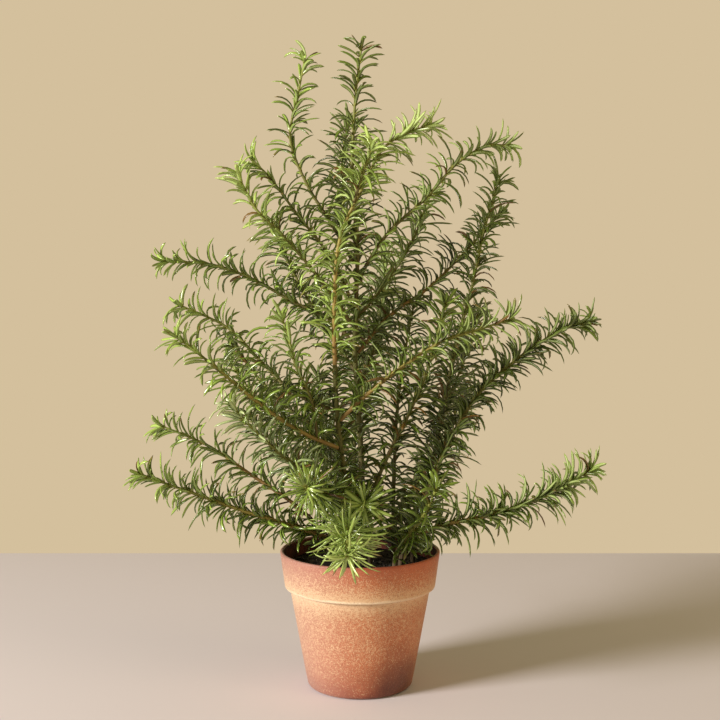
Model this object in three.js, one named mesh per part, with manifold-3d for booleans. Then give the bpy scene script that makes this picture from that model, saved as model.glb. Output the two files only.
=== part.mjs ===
// Potted rosemary: a young rosemary plant in a tapered clay pot with a banded rim.
// Millimetres, +Z up. The origin is the centre of the pot's foot, on the ground.
// +X is the viewer's right and +Y points away from the viewer.
//
// The plant is made as it grows. Woody stems stand in plain holes in the soil, each
// one goes on as a leafy spray, and more sprays leave the stems at their sides.
// A spray is a slim shoot with needles in whorls round it, fused to one solid.

import * as THREE from 'three';
import { mergeVertices } from 'three/addons/utils/BufferGeometryUtils.js';
import Module from 'manifold-3d';

const wasm = await Module();
wasm.setup();

// ---- Driving dimensions ----

const SEAT_GAP = 0.3; // left between pieces that touch

const POT_HEIGHT = 108.5;
const RIM_RADIUS = 63.5; // a five-inch pot, 127 mm over the rim
const BAND_FOOT_RADIUS = 59.9; // the rim band at its lower edge
const BAND_FOOT_HEIGHT = 80.5;
const BODY_TOP_RADIUS = 56; // just under the band
const FOOT_RADIUS = 42.2;
const FOOT_ROUNDING = 3.6;
const WALL = 3;
const LIP_ROUNDING = 1.3;
const FLOOR = 6;
const POT_SIDES = 32;
const DRAIN_RADIUS = 4.5;
const DRAIN_CIRCLE = 22; // four drain holes round the middle of the floor
const DRAIN_COUNT = 4;

const SOIL_HEIGHT = 96.5; // at the wall, 12 mm below the lip
const SOIL_CROWN = 1.6; // the soil is a little higher in the middle
const HOLE_DEPTH = 25; // how far a stem stands in the soil

const WOODY_SIDES = 6;
const SHOOT_SIDES = 4;
const RING_STEP = 24; // between two rings of a stem or shoot
const SHOOT_TIP_RADIUS = 1.1;
const FACE_SHARE = 0.5; // of a shoot's face, on which the built needles stand

const NEEDLE_LENGTH = 20;
const NEEDLE_ROOT_WIDTH = 0.8;
const NEEDLE_WIDTH = 2.1; // across the middle of a needle
const NEEDLE_CLEARANCE = 0.3;
const WHORL_STEP = 5.6; // along a shoot
const WHORL_NEEDLES = 5;
const WHORL_TURN = 0.63; // each whorl is turned on from the last by this, in radians
const NEEDLE_SPACING = 9.3; // one of the needles that are built per this length of shoot
const TIP_NEEDLES = 3; // always built at a shoot's tip
const OLD_LEAN = 0.87; // between needle and shoot in radians, low on a shoot
const TIP_LEAN = 0.3; // and at its tip
const OLD_BEND = 0.8; // how far a needle turns outward over its length
const TIP_BEND = 0.35;
const SEED = 4127;

const TERRACOTTA = { color: 0xb86a45, roughness: 0.85, metalness: 0 };
const SOIL = { color: 0x1d1713, roughness: 1, metalness: 0 };
const BARK = { color: 0x7a5a3a, roughness: 0.8, metalness: 0 };
const FOLIAGE = { color: 0x4f6b35, roughness: 0.55, metalness: 0 };
const FRESH_FOLIAGE = { color: 0x86a048, roughness: 0.55, metalness: 0 };

// Stems that stand in the soil. `points` is the route from the soil's surface to the
// tip, `bare` counts its points on the woody stem, whose last is the spray's first.
const ROOTED = [
  {
    name: 'leader',
    radii: [2.6, 1.9],
    bare: 6,
    points: [[3, 6, 99], [2, 6, 135], [1, 6, 183], [-2, 5, 230], [-4, 4, 267], [-3, 3, 307],
      [-2, 2, 354], [-6, 0, 400], [-5, 0, 441], [-3, 0, 470], [1, 0, 502]],
  },
  {
    name: 'front_tall',
    radii: [2.4, 1.8],
    bare: 5,
    fresh: true,
    points: [[-5, -22, 99], [-8, -24, 145], [-14, -31, 189], [-17, -36, 216], [-19, -41, 259],
      [-19, -48, 308], [-15, -52, 352], [1, -55, 389], [18, -54, 420], [35, -49, 431],
      [51, -42, 437]],
  },
  {
    name: 'right_tall',
    radii: [2.2, 1.8],
    bare: 3,
    points: [[42, 6, 99], [45, 8, 140], [56, 10, 167],
      [65, 12, 211], [77, 16, 270], [89, 20, 314], [99, 19, 361], [109, 14, 400]],
  },
  {
    name: 'right_reach',
    radii: [2.3, 1.8],
    bare: 3,
    points: [[32, -8, 99], [39, -10, 134], [51, -12, 152],
      [68, -12, 193], [93, -10, 234], [127, -8, 264], [155, -6, 282], [179, -4, 290]],
  },
  {
    name: 'inner_right',
    radii: [2, 1.6],
    bare: 3,
    points: [[27, 20, 99], [27, 20, 140], [28, 22, 177],
      [31, 28, 225], [38, 36, 270], [44, 46, 300]],
  },
  {
    name: 'mid_right',
    radii: [2, 1.6],
    bare: 3,
    points: [[8, -8, 99], [9, -13, 150], [22, -18, 187],
      [39, -22, 222], [54, -27, 261], [65, -32, 305]],
  },
  {
    name: 'low_left',
    radii: [2.4, 2],
    bare: 3,
    points: [[-17, -12, 99], [-19, -12, 111], [-27, -15, 121],
      [-47, -22, 130], [-88, -32, 145], [-129, -38, 161], [-167, -40, 175]],
  },
  {
    name: 'low_left_back',
    radii: [2.2, 1.8],
    bare: 3,
    points: [[-24, 5, 99], [-27, 5, 112], [-35, 5, 127],
      [-52, 6, 143], [-87, 12, 166], [-122, 16, 189], [-159, 16, 205]],
  },
  {
    name: 'low_right',
    radii: [2.3, 1.9],
    bare: 3,
    points: [[27, -20, 99], [29, -20, 110], [38, -21, 121],
      [62, -25, 132], [107, -30, 144], [142, -30, 157], [178, -26, 176]],
  },
  {
    name: 'back',
    radii: [2.4, 1.8],
    bare: 3,
    points: [[-2, 27, 99], [-3, 32, 150], [-5, 40, 190],
      [2, 78, 224], [2, 112, 262], [-3, 138, 300]],
  },
];

// Sprays that leave a stem or another spray at its side. The first point lies on the
// middle line of what carries them.
const SIDE_SPRAYS = [
  {
    name: 'top_left', on: 'spray_leader', radius: 1.5,
    points: [[-3, 2, 332], [-21, 10, 364], [-43, 13, 400], [-55, 11, 434], [-49, 7, 465],
      [-43, 3, 493]],
  },
  {
    name: 'top_right', on: 'spray_leader', radius: 1.5,
    points: [[-3, 2, 321], [21, 0, 358], [51, -4, 386], [77, -8, 414], [99, -10, 426],
      [112, -10, 426]],
  },
  {
    name: 'front_tip', on: 'spray_front_tall', radius: 1.2, fresh: true,
    points: [[-8, -53, 368], [1, -62, 397], [8, -68, 417]],
  },
  {
    name: 'upper_left', on: 'stem_leader', radius: 1.5,
    points: [[-3, 3, 298], [-23, -8, 340], [-49, -20, 374], [-70, -28, 402], [-80, -30, 411]],
  },
  {
    name: 'upper_left_front', on: 'stem_leader', radius: 1.5, fresh: true,
    points: [[-4, 4, 284], [-27, -14, 318], [-58, -34, 356], [-78, -40, 376], [-91, -44, 401]],
  },
  {
    name: 'left_high', on: 'stem_leader', radius: 1.6,
    points: [[-4, 4, 270], [-20, 8, 289], [-51, 11, 304], [-87, 12, 324], [-119, 10, 335],
      [-153, 6, 337]],
  },
  {
    name: 'left_mid', on: 'stem_front_tall', radius: 1.6,
    points: [[-17, -37, 222], [-51, -28, 237], [-76, -18, 259], [-102, -13, 285],
      [-140, -10, 303]],
  },
  {
    name: 'left_front', on: 'stem_front_tall', radius: 1.7,
    points: [[-14, -32, 193], [-46, -50, 210], [-78, -66, 235], [-105, -77, 260],
      [-132, -82, 282]],
  },
  {
    name: 'left_silver', on: 'stem_front_tall', radius: 1.4,
    points: [[-10, -27, 160], [-38, -46, 175], [-65, -60, 199], [-85, -67, 220], [-94, -70, 231]],
  },
  {
    name: 'left_inner', on: 'stem_leader', radius: 1.4,
    points: [[2, 6, 146], [-36, 2, 163], [-60, 8, 183], [-79, 14, 202], [-90, 17, 215]],
  },
  {
    name: 'left_upright', on: 'spray_left_front', radius: 1.2,
    points: [[-32, -42, 202], [-37, -46, 234], [-48, -47, 258], [-54, -44, 281], [-58, -42, 292]],
  },
  {
    name: 'right_brown', on: 'stem_leader', radius: 1.6,
    points: [[-4, 4, 262], [23, 20, 293], [58, 32, 318], [90, 39, 350], [112, 40, 374]],
  },
  {
    name: 'front_right', on: 'stem_front_tall', radius: 1.6, fresh: true,
    points: [[-17, -36, 214], [1, -46, 233], [27, -56, 255], [59, -64, 277], [85, -67, 286],
      [110, -67, 294]],
  },
  {
    name: 'front_droop', on: 'stem_front_tall', radius: 1.4, fresh: true,
    points: [[-7, -24, 135], [-8, -50, 142], [-9, -75, 136], [-9, -92, 125]],
  },
  {
    name: 'front_left_burst', on: 'stem_front_tall', radius: 1.4, fresh: true,
    points: [[-9, -25, 150], [-24, -55, 162], [-35, -82, 171], [-39, -100, 176]],
  },
  {
    name: 'inner_burst', on: 'stem_mid_right', radius: 1.3,
    points: [[9, -12, 140], [4, -45, 153], [3, -68, 157]],
  },
  {
    name: 'low_front_right', on: 'stem_low_right', radius: 1.4,
    points: [[28, -20, 106], [36, -42, 128], [48, -64, 150], [56, -76, 170]],
  },
  {
    name: 'back_low', on: 'stem_back', radius: 1.5,
    points: [[-3, 31, 138], [-20, 80, 170], [-32, 120, 205], [-38, 148, 232]],
  },
  {
    name: 'back_low_right', on: 'stem_inner_right', radius: 1.5,
    points: [[27, 20, 125], [50, 70, 150], [76, 104, 188], [93, 128, 222]],
  },
  {
    name: 'back_left', on: 'stem_back', radius: 1.5,
    points: [[-3, 33, 160], [-50, 72, 185], [-92, 98, 222], [-116, 108, 252]],
  },
  {
    name: 'back_left_side', on: 'stem_back', radius: 1.5,
    points: [[-4, 37, 178], [-50, 52, 208], [-86, 66, 240], [-108, 74, 268]],
  },
  {
    name: 'back_mid', on: 'stem_leader', radius: 1.5,
    points: [[-2, 5, 235], [12, 52, 268], [20, 90, 308], [23, 114, 345]],
  },
  {
    name: 'back_upper_left', on: 'stem_leader', radius: 1.5,
    points: [[-3, 5, 249], [-36, 43, 295], [-60, 68, 338], [-70, 78, 368]],
  },
  {
    name: 'back_upper_right', on: 'stem_leader', radius: 1.5,
    points: [[-3, 3, 291], [28, 38, 330], [48, 58, 364], [57, 66, 392]],
  },
  {
    name: 'back_top', on: 'spray_leader', radius: 1.4,
    points: [[-2, 2, 346], [-12, 36, 380], [-14, 56, 424], [-10, 64, 452]],
  },
  {
    name: 'back_right', on: 'spray_right_tall', radius: 1.4,
    points: [[62, 11, 197], [75, 55, 225], [93, 88, 262], [103, 106, 292]],
  },
];

// ---- Small helpers ----

// A seeded random draw between 0 and 1.
function seededRandom(seed) {
  let state = seed;
  return () => {
    state = (state + 0x6d2b79f5) | 0;
    let mixed = Math.imul(state ^ (state >>> 15), 1 | state);
    mixed = (mixed + Math.imul(mixed ^ (mixed >>> 7), 61 | mixed)) ^ mixed;
    return ((mixed ^ (mixed >>> 14)) >>> 0) / 4294967296;
  };
}

function mix(from, to, share) {
  return from + (to - from) * share;
}

function closedGeometry(positions, faces) {
  const geometry = new THREE.BufferGeometry();
  geometry.setAttribute('position', new THREE.Float32BufferAttribute(positions, 3));
  geometry.setIndex(faces);
  return geometry;
}

function toSolid(geometry) {
  const bare = geometry.clone();
  bare.deleteAttribute('normal');
  bare.deleteAttribute('uv');
  const merged = mergeVertices(bare, 1e-4);
  return new wasm.Manifold(new wasm.Mesh({
    numProp: 3,
    vertProperties: new Float32Array(merged.attributes.position.array),
    triVerts: new Uint32Array(merged.index.array),
  }));
}

function toGeometry(solid) {
  const mesh = solid.getMesh();
  const geometry = closedGeometry(mesh.vertProperties, Array.from(mesh.triVerts));
  geometry.computeVertexNormals();
  return geometry;
}

function latheAroundZ(profile) {
  const points = profile.map(([radius, height]) => new THREE.Vector2(radius, height));
  const geometry = new THREE.LatheGeometry(points, POT_SIDES);
  geometry.rotateX(Math.PI / 2);
  return geometry;
}

function upright(radius, bottom, top, sides, x, y) {
  const geometry = new THREE.CylinderGeometry(radius, radius, top - bottom, sides);
  geometry.rotateX(Math.PI / 2);
  geometry.translate(x, y, (top + bottom) / 2);
  return geometry;
}

function part(name, geometry, finish) {
  const mesh = new THREE.Mesh(geometry, new THREE.MeshStandardMaterial(finish));
  mesh.name = name;
  return mesh;
}

// ---- Pot and soil ----

// The inside of the pot: straight up from the floor, a ledge behind the band's lower
// edge, then straight up behind the band.
const LEDGE_LOW = BAND_FOOT_HEIGHT - 3;
const LEDGE_HIGH = BAND_FOOT_HEIGHT + 4;
const INNER_FLOOR_RADIUS = 39.4;
const INNER_LEDGE_RADIUS = BODY_TOP_RADIUS - WALL;
const INNER_BAND_RADIUS = BAND_FOOT_RADIUS - WALL;
const INNER_LIP_RADIUS = RIM_RADIUS - WALL + 0.4;

function innerRadius(height) {
  if (height <= LEDGE_LOW) {
    return mix(INNER_FLOOR_RADIUS, INNER_LEDGE_RADIUS, (height - FLOOR) / (LEDGE_LOW - FLOOR));
  }
  if (height <= LEDGE_HIGH) {
    return mix(INNER_LEDGE_RADIUS, INNER_BAND_RADIUS, (height - LEDGE_LOW) / (LEDGE_HIGH - LEDGE_LOW));
  }
  const share = (height - LEDGE_HIGH) / (POT_HEIGHT - LIP_ROUNDING - LEDGE_HIGH);
  return mix(INNER_BAND_RADIUS, INNER_LIP_RADIUS, share);
}

function makePot() {
  const lipStart = POT_HEIGHT - LIP_ROUNDING;
  const profile = [
    [0, 0],
    [FOOT_RADIUS - FOOT_ROUNDING, 0],
    [FOOT_RADIUS - FOOT_ROUNDING * 0.4, FOOT_ROUNDING * 0.2],
    [FOOT_RADIUS, FOOT_ROUNDING],
    [BODY_TOP_RADIUS, BAND_FOOT_HEIGHT - 1],
    [BAND_FOOT_RADIUS - 0.7, BAND_FOOT_HEIGHT - 0.5],
    [BAND_FOOT_RADIUS, BAND_FOOT_HEIGHT + 0.6],
    [RIM_RADIUS, lipStart],
    [RIM_RADIUS - LIP_ROUNDING * 0.45, POT_HEIGHT - 0.2],
    [INNER_LIP_RADIUS + LIP_ROUNDING * 0.45, POT_HEIGHT],
    [INNER_LIP_RADIUS, lipStart],
    [innerRadius(LEDGE_HIGH), LEDGE_HIGH],
    [innerRadius(LEDGE_LOW), LEDGE_LOW],
    [innerRadius(FLOOR), FLOOR],
    [0, FLOOR],
  ];
  let solid = toSolid(latheAroundZ(profile));
  for (let i = 0; i < DRAIN_COUNT; i += 1) {
    const angle = ((i + 0.5) / DRAIN_COUNT) * Math.PI * 2;
    const x = Math.cos(angle) * DRAIN_CIRCLE;
    const y = Math.sin(angle) * DRAIN_CIRCLE;
    solid = solid.subtract(toSolid(upright(DRAIN_RADIUS, -1, FLOOR + 1, 8, x, y)));
  }
  return part('pot', toGeometry(solid), TERRACOTTA);
}

function makeSoil() {
  const bottom = FLOOR + SEAT_GAP;
  const wallAt = (height) => [innerRadius(height) - SEAT_GAP * 1.2, height];
  const profile = [
    [0, bottom],
    wallAt(bottom),
    wallAt(LEDGE_LOW + 0.1),
    wallAt(LEDGE_HIGH + 0.1),
    wallAt(SOIL_HEIGHT),
    [innerRadius(SOIL_HEIGHT) * 0.5, SOIL_HEIGHT + SOIL_CROWN * 0.8],
    [0, SOIL_HEIGHT + SOIL_CROWN],
  ];
  let solid = toSolid(latheAroundZ(profile));
  for (const { radii, points } of ROOTED) {
    const [x, y] = points[0];
    const radius = radii[0] + SEAT_GAP * 1.2;
    const rings = [SOIL_HEIGHT - HOLE_DEPTH - SEAT_GAP, POT_HEIGHT]
      .map((height) => ringPoints(uprightFrame(x, y, height), radius, WOODY_SIDES));
    solid = solid.subtract(toSolid(tube(rings)));
  }
  return part('soil', toGeometry(solid), SOIL);
}

// ---- Routes, stems and shoots ----

// A route with a frame at each place. `forward` runs along it; `side` and `front`
// point away from it, square to each other.
class Route {
  constructor(points) {
    this.curve = new THREE.CatmullRomCurve3(points.map((p) => new THREE.Vector3(...p)));
    this.curve.arcLengthDivisions = 400;
    this.length = this.curve.getLength();
    const first = this.curve.points[0];
    const last = this.curve.points[this.curve.points.length - 1];
    const whole = last.clone().sub(first).toArray().map(Math.abs);
    const least = whole.indexOf(Math.min(...whole));
    this.reference = new THREE.Vector3().setComponent(least, 1);
  }

  // The place and frame at this many millimetres along the route.
  at(along) {
    const share = Math.min(Math.max(along / this.length, 0), 1);
    const forward = this.curve.getTangentAt(share);
    const side = forward.clone().cross(this.reference).normalize();
    const front = forward.clone().cross(side);
    return { place: this.curve.getPointAt(share), forward, side, front };
  }
}

// The frame of a stem that stands straight up.
function uprightFrame(x, y, z) {
  return {
    place: new THREE.Vector3(x, y, z),
    forward: new THREE.Vector3(0, 0, 1),
    side: new THREE.Vector3(1, 0, 0),
    front: new THREE.Vector3(0, 1, 0),
  };
}

function ringPoints(frame, radius, sides) {
  const ring = [];
  for (let i = 0; i < sides; i += 1) {
    const angle = (i / sides) * Math.PI * 2;
    ring.push(frame.place.clone()
      .addScaledVector(frame.side, Math.cos(angle) * radius)
      .addScaledVector(frame.front, Math.sin(angle) * radius));
  }
  return ring;
}

// A closed tapered tube through the rings. With an apex it ends in a point.
function tube(rings, apex) {
  const sides = rings[0].length;
  const positions = rings.flat().flatMap((point) => point.toArray());
  const faces = [];
  for (let r = 0; r + 1 < rings.length; r += 1) {
    for (let i = 0; i < sides; i += 1) {
      const a = r * sides + i;
      const b = r * sides + ((i + 1) % sides);
      faces.push(a, b, a + sides, b, b + sides, a + sides);
    }
  }
  for (let i = 1; i + 1 < sides; i += 1) {
    faces.push(0, i + 1, i);
  }
  const last = (rings.length - 1) * sides;
  if (apex) {
    positions.push(...apex.toArray());
    for (let i = 0; i < sides; i += 1) {
      faces.push(last + i, last + ((i + 1) % sides), rings.length * sides);
    }
  } else {
    for (let i = 1; i + 1 < sides; i += 1) {
      faces.push(last, last + i, last + i + 1);
    }
  }
  return closedGeometry(positions, faces);
}

// The middle line of a stem or shoot as straight pieces, each with its radius.
function middleLine(name, frames, radii) {
  const pieces = [];
  for (let i = 0; i + 1 < frames.length; i += 1) {
    pieces.push({
      owner: name,
      from: frames[i].place,
      to: frames[i + 1].place,
      radius: Math.max(radii[i], radii[i + 1]),
    });
  }
  return pieces;
}

function spread(start, end) {
  const steps = Math.max(2, Math.round((end - start) / RING_STEP));
  return Array.from({ length: steps + 1 }, (_, i) => mix(start, end, i / steps));
}

// Where along the whole route of a rooted stem the bark ends.
function barkLength(stem, route) {
  const target = new THREE.Vector3(...stem.points[stem.bare - 1]);
  let best = 0;
  let nearest = Infinity;
  for (let along = 0; along <= route.length; along += 0.25) {
    const distance = route.at(along).place.distanceTo(target);
    if (distance < nearest) {
      nearest = distance;
      best = along;
    }
  }
  return best;
}

function planRootedStem(stem) {
  const route = new Route(stem.points);
  const barkEnd = barkLength(stem, route);
  const places = spread(0, barkEnd);
  const frames = places.map((along) => route.at(along));
  const radii = places.map((along) => mix(stem.radii[0], stem.radii[1], along / barkEnd));
  const [x, y, surface] = stem.points[0];
  frames[0] = uprightFrame(x, y, surface);
  frames.unshift(uprightFrame(x, y, SOIL_HEIGHT - HOLE_DEPTH));
  radii.unshift(stem.radii[0]);
  const bark = { name: `stem_${stem.name}`, frames, radii };
  const spray = {
    name: `spray_${stem.name}`,
    route,
    start: barkEnd + SEAT_GAP,
    leavesFrom: barkEnd + 2,
    radius: stem.radii[1] * 0.93,
    fresh: stem.fresh,
  };
  return { bark, spray };
}

function distanceToLine(point, pieces) {
  const line = new THREE.Line3();
  const nearest = new THREE.Vector3();
  let least = Infinity;
  for (const piece of pieces) {
    line.set(piece.from, piece.to).closestPointToPoint(point, true, nearest);
    least = Math.min(least, nearest.distanceTo(point) - piece.radius);
  }
  return least;
}

// A side spray starts where its base, square to its route, just clears its carrier.
function planSideSpray(spray, lines) {
  const route = new Route(spray.points);
  const carrier = lines.filter((piece) => piece.owner === spray.on);
  let start = 0;
  const clears = (along) => {
    const corners = ringPoints(route.at(along), spray.radius, SHOOT_SIDES);
    const edges = corners.map((corner, i) => corner.clone().lerp(corners[(i + 1) % SHOOT_SIDES], 0.5));
    return [...corners, ...edges].every((point) => distanceToLine(point, carrier) >= SEAT_GAP * 0.5);
  };
  while (!clears(start)) {
    start += 0.1;
  }
  return {
    name: `spray_${spray.name}`,
    route,
    start,
    leavesFrom: start + 7,
    radius: spray.radius,
    fresh: spray.fresh,
  };
}

function layShoot(spray) {
  const tip = spray.route.length;
  const places = spread(spray.start, tip);
  spray.frames = places.map((along) => spray.route.at(along));
  spray.radii = places.map((along) => {
    const share = (along - spray.start) / (tip - spray.start);
    return mix(spray.radius, SHOOT_TIP_RADIUS, share);
  });
  return middleLine(spray.name, spray.frames, spray.radii);
}

// ---- Needles ----

// All the needles that the plant could have on this spray, in whorls from its foot to
// its tip. Each is a root, a middle and a tip.
function needlePlaces(spray, seed) {
  const random = seededRandom(seed);
  const { route, leavesFrom } = spray;
  const leafy = route.length - leavesFrom;
  const whorls = Math.round(leafy / WHORL_STEP);
  const phase = random() * Math.PI * 2;
  const needles = [];
  for (let k = 0; k < whorls; k += 1) {
    const share = (k + 0.5) / whorls;
    const young = share ** 6;
    for (let j = 0; j < WHORL_NEEDLES; j += 1) {
      const along = leavesFrom + leafy * share + (random() - 0.5) * WHORL_STEP * 0.6;
      const turn = phase + k * WHORL_TURN + (j / WHORL_NEEDLES) * Math.PI * 2
        + (random() - 0.5) * 0.7;
      const length = NEEDLE_LENGTH * mix(0.82, 1.12, random()) * mix(1, 0.72, young);
      const lean = mix(OLD_LEAN, TIP_LEAN, young) + (random() - 0.5) * 0.3;
      const bend = mix(OLD_BEND, TIP_BEND, young) * mix(0.5, 1.5, random());
      const needle = placeNeedle(route.at(along), turn, length, lean, bend);
      needles.push({ ...needle, root: middleAt(spray, along) });
    }
  }
  return needles;
}

// The place on the straight pieces of a shoot's middle line.
function middleAt({ start, route, frames }, along) {
  const pieces = frames.length - 1;
  const reached = Math.max(0, ((along - start) / (route.length - start)) * pieces);
  const i = Math.min(Math.floor(reached), pieces - 1);
  return frames[i].place.clone().lerp(frames[i + 1].place, reached - i);
}

function placeNeedle({ place, forward, side, front }, turn, length, lean, bend) {
  const out = side.clone().multiplyScalar(Math.cos(turn)).addScaledVector(front, Math.sin(turn));
  const heading = (angle) => forward.clone().multiplyScalar(Math.cos(angle))
    .addScaledVector(out, Math.sin(angle));
  const first = heading(lean);
  const second = heading(lean + bend);
  const middle = place.clone().addScaledVector(first, length * 0.55);
  return {
    turn,
    middle,
    tip: middle.clone().addScaledVector(second, length * 0.5),
    first,
    second,
    across: forward.clone().cross(out).normalize(),
  };
}

// A slim three-sided solid, narrow at its root and widest in its middle.
function needleSolid({ root, middle, tip, first, second, across }) {
  const ring = (centre, along, width) => {
    const back = along.clone().cross(across).normalize();
    return [
      centre.clone().addScaledVector(across, -width / 2).addScaledVector(back, -width * 0.29),
      centre.clone().addScaledVector(across, width / 2).addScaledVector(back, -width * 0.29),
      centre.clone().addScaledVector(back, width * 0.58),
    ];
  };
  const between = first.clone().add(second).normalize();
  const solid = toSolid(tube([
    ring(root, first, NEEDLE_ROOT_WIDTH),
    ring(middle, between, NEEDLE_WIDTH),
  ], tip));
  return solid;
}

function segmentDistance(a, b, c, d) {
  const u = b.clone().sub(a);
  const v = d.clone().sub(c);
  const w = a.clone().sub(c);
  const uu = u.dot(u);
  const uv = u.dot(v);
  const vv = v.dot(v);
  const uw = u.dot(w);
  const vw = v.dot(w);
  const clampShare = (value) => Math.min(Math.max(value, 0), 1);
  const scale = uu * vv - uv * uv;
  let s = scale > 1e-9 ? clampShare((uv * vw - vv * uw) / scale) : 0;
  const t = clampShare((uv * s + vw) / vv);
  s = clampShare((uv * t - uw) / uu);
  return a.clone().addScaledVector(u, s).distanceTo(c.clone().addScaledVector(v, t));
}

function reachOf(a, b) {
  return { centre: a.clone().add(b).multiplyScalar(0.5), reach: a.distanceTo(b) / 2 };
}

// Keeps what is already in place and tells whether a new needle is clear of it.
class Thicket {
  constructor(lines) {
    this.lines = lines.map((piece) => ({ ...piece, ...reachOf(piece.from, piece.to) }));
    this.needles = [];
  }

  // Straight pieces of a needle, the first from a little way out of its own shoot.
  pieces(owner, { root, middle, tip }) {
    const outer = root.clone().lerp(middle, 0.35);
    const halves = [[outer, middle, NEEDLE_WIDTH * 0.6], [middle, tip, NEEDLE_WIDTH * 0.5]];
    return halves.map(([from, to, radius]) => ({ owner, from, to, radius, ...reachOf(from, to) }));
  }

  clear(owner, needle) {
    return this.pieces(owner, needle).every((piece) => (
      this.clearOfPot(piece)
      && this.lines.every((other) => other.owner === owner || this.apart(piece, other))
      && this.needles.every((other) => this.apart(piece, other))));
  }

  apart(one, other) {
    const least = one.radius + other.radius + NEEDLE_CLEARANCE;
    if (one.centre.distanceTo(other.centre) > least + one.reach + other.reach) {
      return true;
    }
    return segmentDistance(one.from, one.to, other.from, other.to) > least;
  }

  clearOfPot({ from, to, radius }) {
    return [0, 0.25, 0.5, 0.75, 1].every((share) => {
      const point = from.clone().lerp(to, share);
      const outside = Math.hypot(point.x, point.y) > RIM_RADIUS + radius + 1;
      const overLip = point.z > POT_HEIGHT + radius + 0.5;
      const inside = Math.hypot(point.x, point.y) < INNER_BAND_RADIUS - radius;
      const overSoil = point.z > SOIL_HEIGHT + SOIL_CROWN + radius + 0.5;
      return outside || overLip || (inside && overSoil);
    });
  }

  add(owner, needle) {
    this.needles.push(...this.pieces(owner, needle));
  }
}

// The needles that are built: evenly picked over the spray, each clear of all others.
function pickNeedles(spray, seed, thicket) {
  const places = needlePlaces(spray, seed);
  const wanted = Math.round((spray.route.length - spray.leavesFrom) / NEEDLE_SPACING) + 2;
  const stride = nearestPrime(Math.round(places.length * 0.618));
  const tipWhorl = places.slice(-TIP_NEEDLES);
  const spreadOut = places.map((_, i) => places[(i * stride) % places.length]);
  const picked = new Set();
  for (const needle of [...tipWhorl, ...spreadOut]) {
    const suits = rootsInFace(needle) || tipWhorl.includes(needle);
    if (picked.size < wanted && !picked.has(needle) && suits && thicket.clear(spray.name, needle)) {
      thicket.add(spray.name, needle);
      picked.add(needle);
    }
  }
  return [...picked];
}

// Whether a needle leaves the middle of one face of its four-sided shoot.
function rootsInFace({ turn }) {
  const faceTurn = (Math.PI * 2) / SHOOT_SIDES;
  const past = ((turn % faceTurn) + faceTurn) % faceTurn;
  return Math.abs(past - faceTurn / 2) < FACE_SHARE * faceTurn / 2;
}

function nearestPrime(value) {
  const isPrime = (n) => {
    for (let i = 2; i * i <= n; i += 1) {
      if (n % i === 0) {
        return false;
      }
    }
    return true;
  };
  let prime = Math.max(value, 2);
  while (!isPrime(prime)) {
    prime += 1;
  }
  return prime;
}

function makeSpray(spray, needles) {
  const rings = spray.frames.slice(0, -1)
    .map((frame, i) => ringPoints(frame, spray.radii[i], SHOOT_SIDES));
  const apex = spray.frames[spray.frames.length - 1].place;
  let solid = toSolid(tube(rings, apex));
  for (const needle of needles) {
    solid = solid.add(needleSolid(needle));
  }
  return part(spray.name, toGeometry(solid), spray.fresh ? FRESH_FOLIAGE : FOLIAGE);
}

function makeStem(stem) {
  const rings = stem.frames.map((frame, i) => ringPoints(frame, stem.radii[i], WOODY_SIDES));
  return part(stem.name, toGeometry(toSolid(tube(rings))), BARK);
}

// ---- The whole plant ----

function makePlant() {
  const rooted = ROOTED.map(planRootedStem);
  const lines = rooted.flatMap(({ bark }) => middleLine(bark.name, bark.frames, bark.radii));
  const sprays = rooted.map(({ spray }) => spray);
  for (const spray of sprays) {
    lines.push(...layShoot(spray));
  }
  for (const plan of SIDE_SPRAYS) {
    const spray = planSideSpray(plan, lines);
    lines.push(...layShoot(spray));
    sprays.push(spray);
  }
  const thicket = new Thicket(lines);
  const stems = rooted.map(({ bark }) => makeStem(bark));
  const leafy = sprays.map((spray, i) => makeSpray(spray, pickNeedles(spray, SEED + i, thicket)));
  return [...stems, ...leafy];
}

const rosemary = new THREE.Group();
rosemary.add(makePot(), makeSoil(), ...makePlant());

export default rosemary;
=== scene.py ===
"""Looks of the potted rosemary: a young rosemary plant in a banded clay pot.

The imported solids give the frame. Every piece here stands where its solid stands and
keeps its form: the pot, the soil, ten woody stems and thirty-six leafy sprays. The
routes of the stems and the rule that places the needles are those of the solids, in
millimetres, and every mesh is made in metres.
"""

import logging
import math
from collections.abc import Callable, Iterator, Sequence
from contextlib import contextmanager
from dataclasses import dataclass, replace
from enum import Enum
from functools import cache
from itertools import pairwise
from typing import Any, NamedTuple

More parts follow.
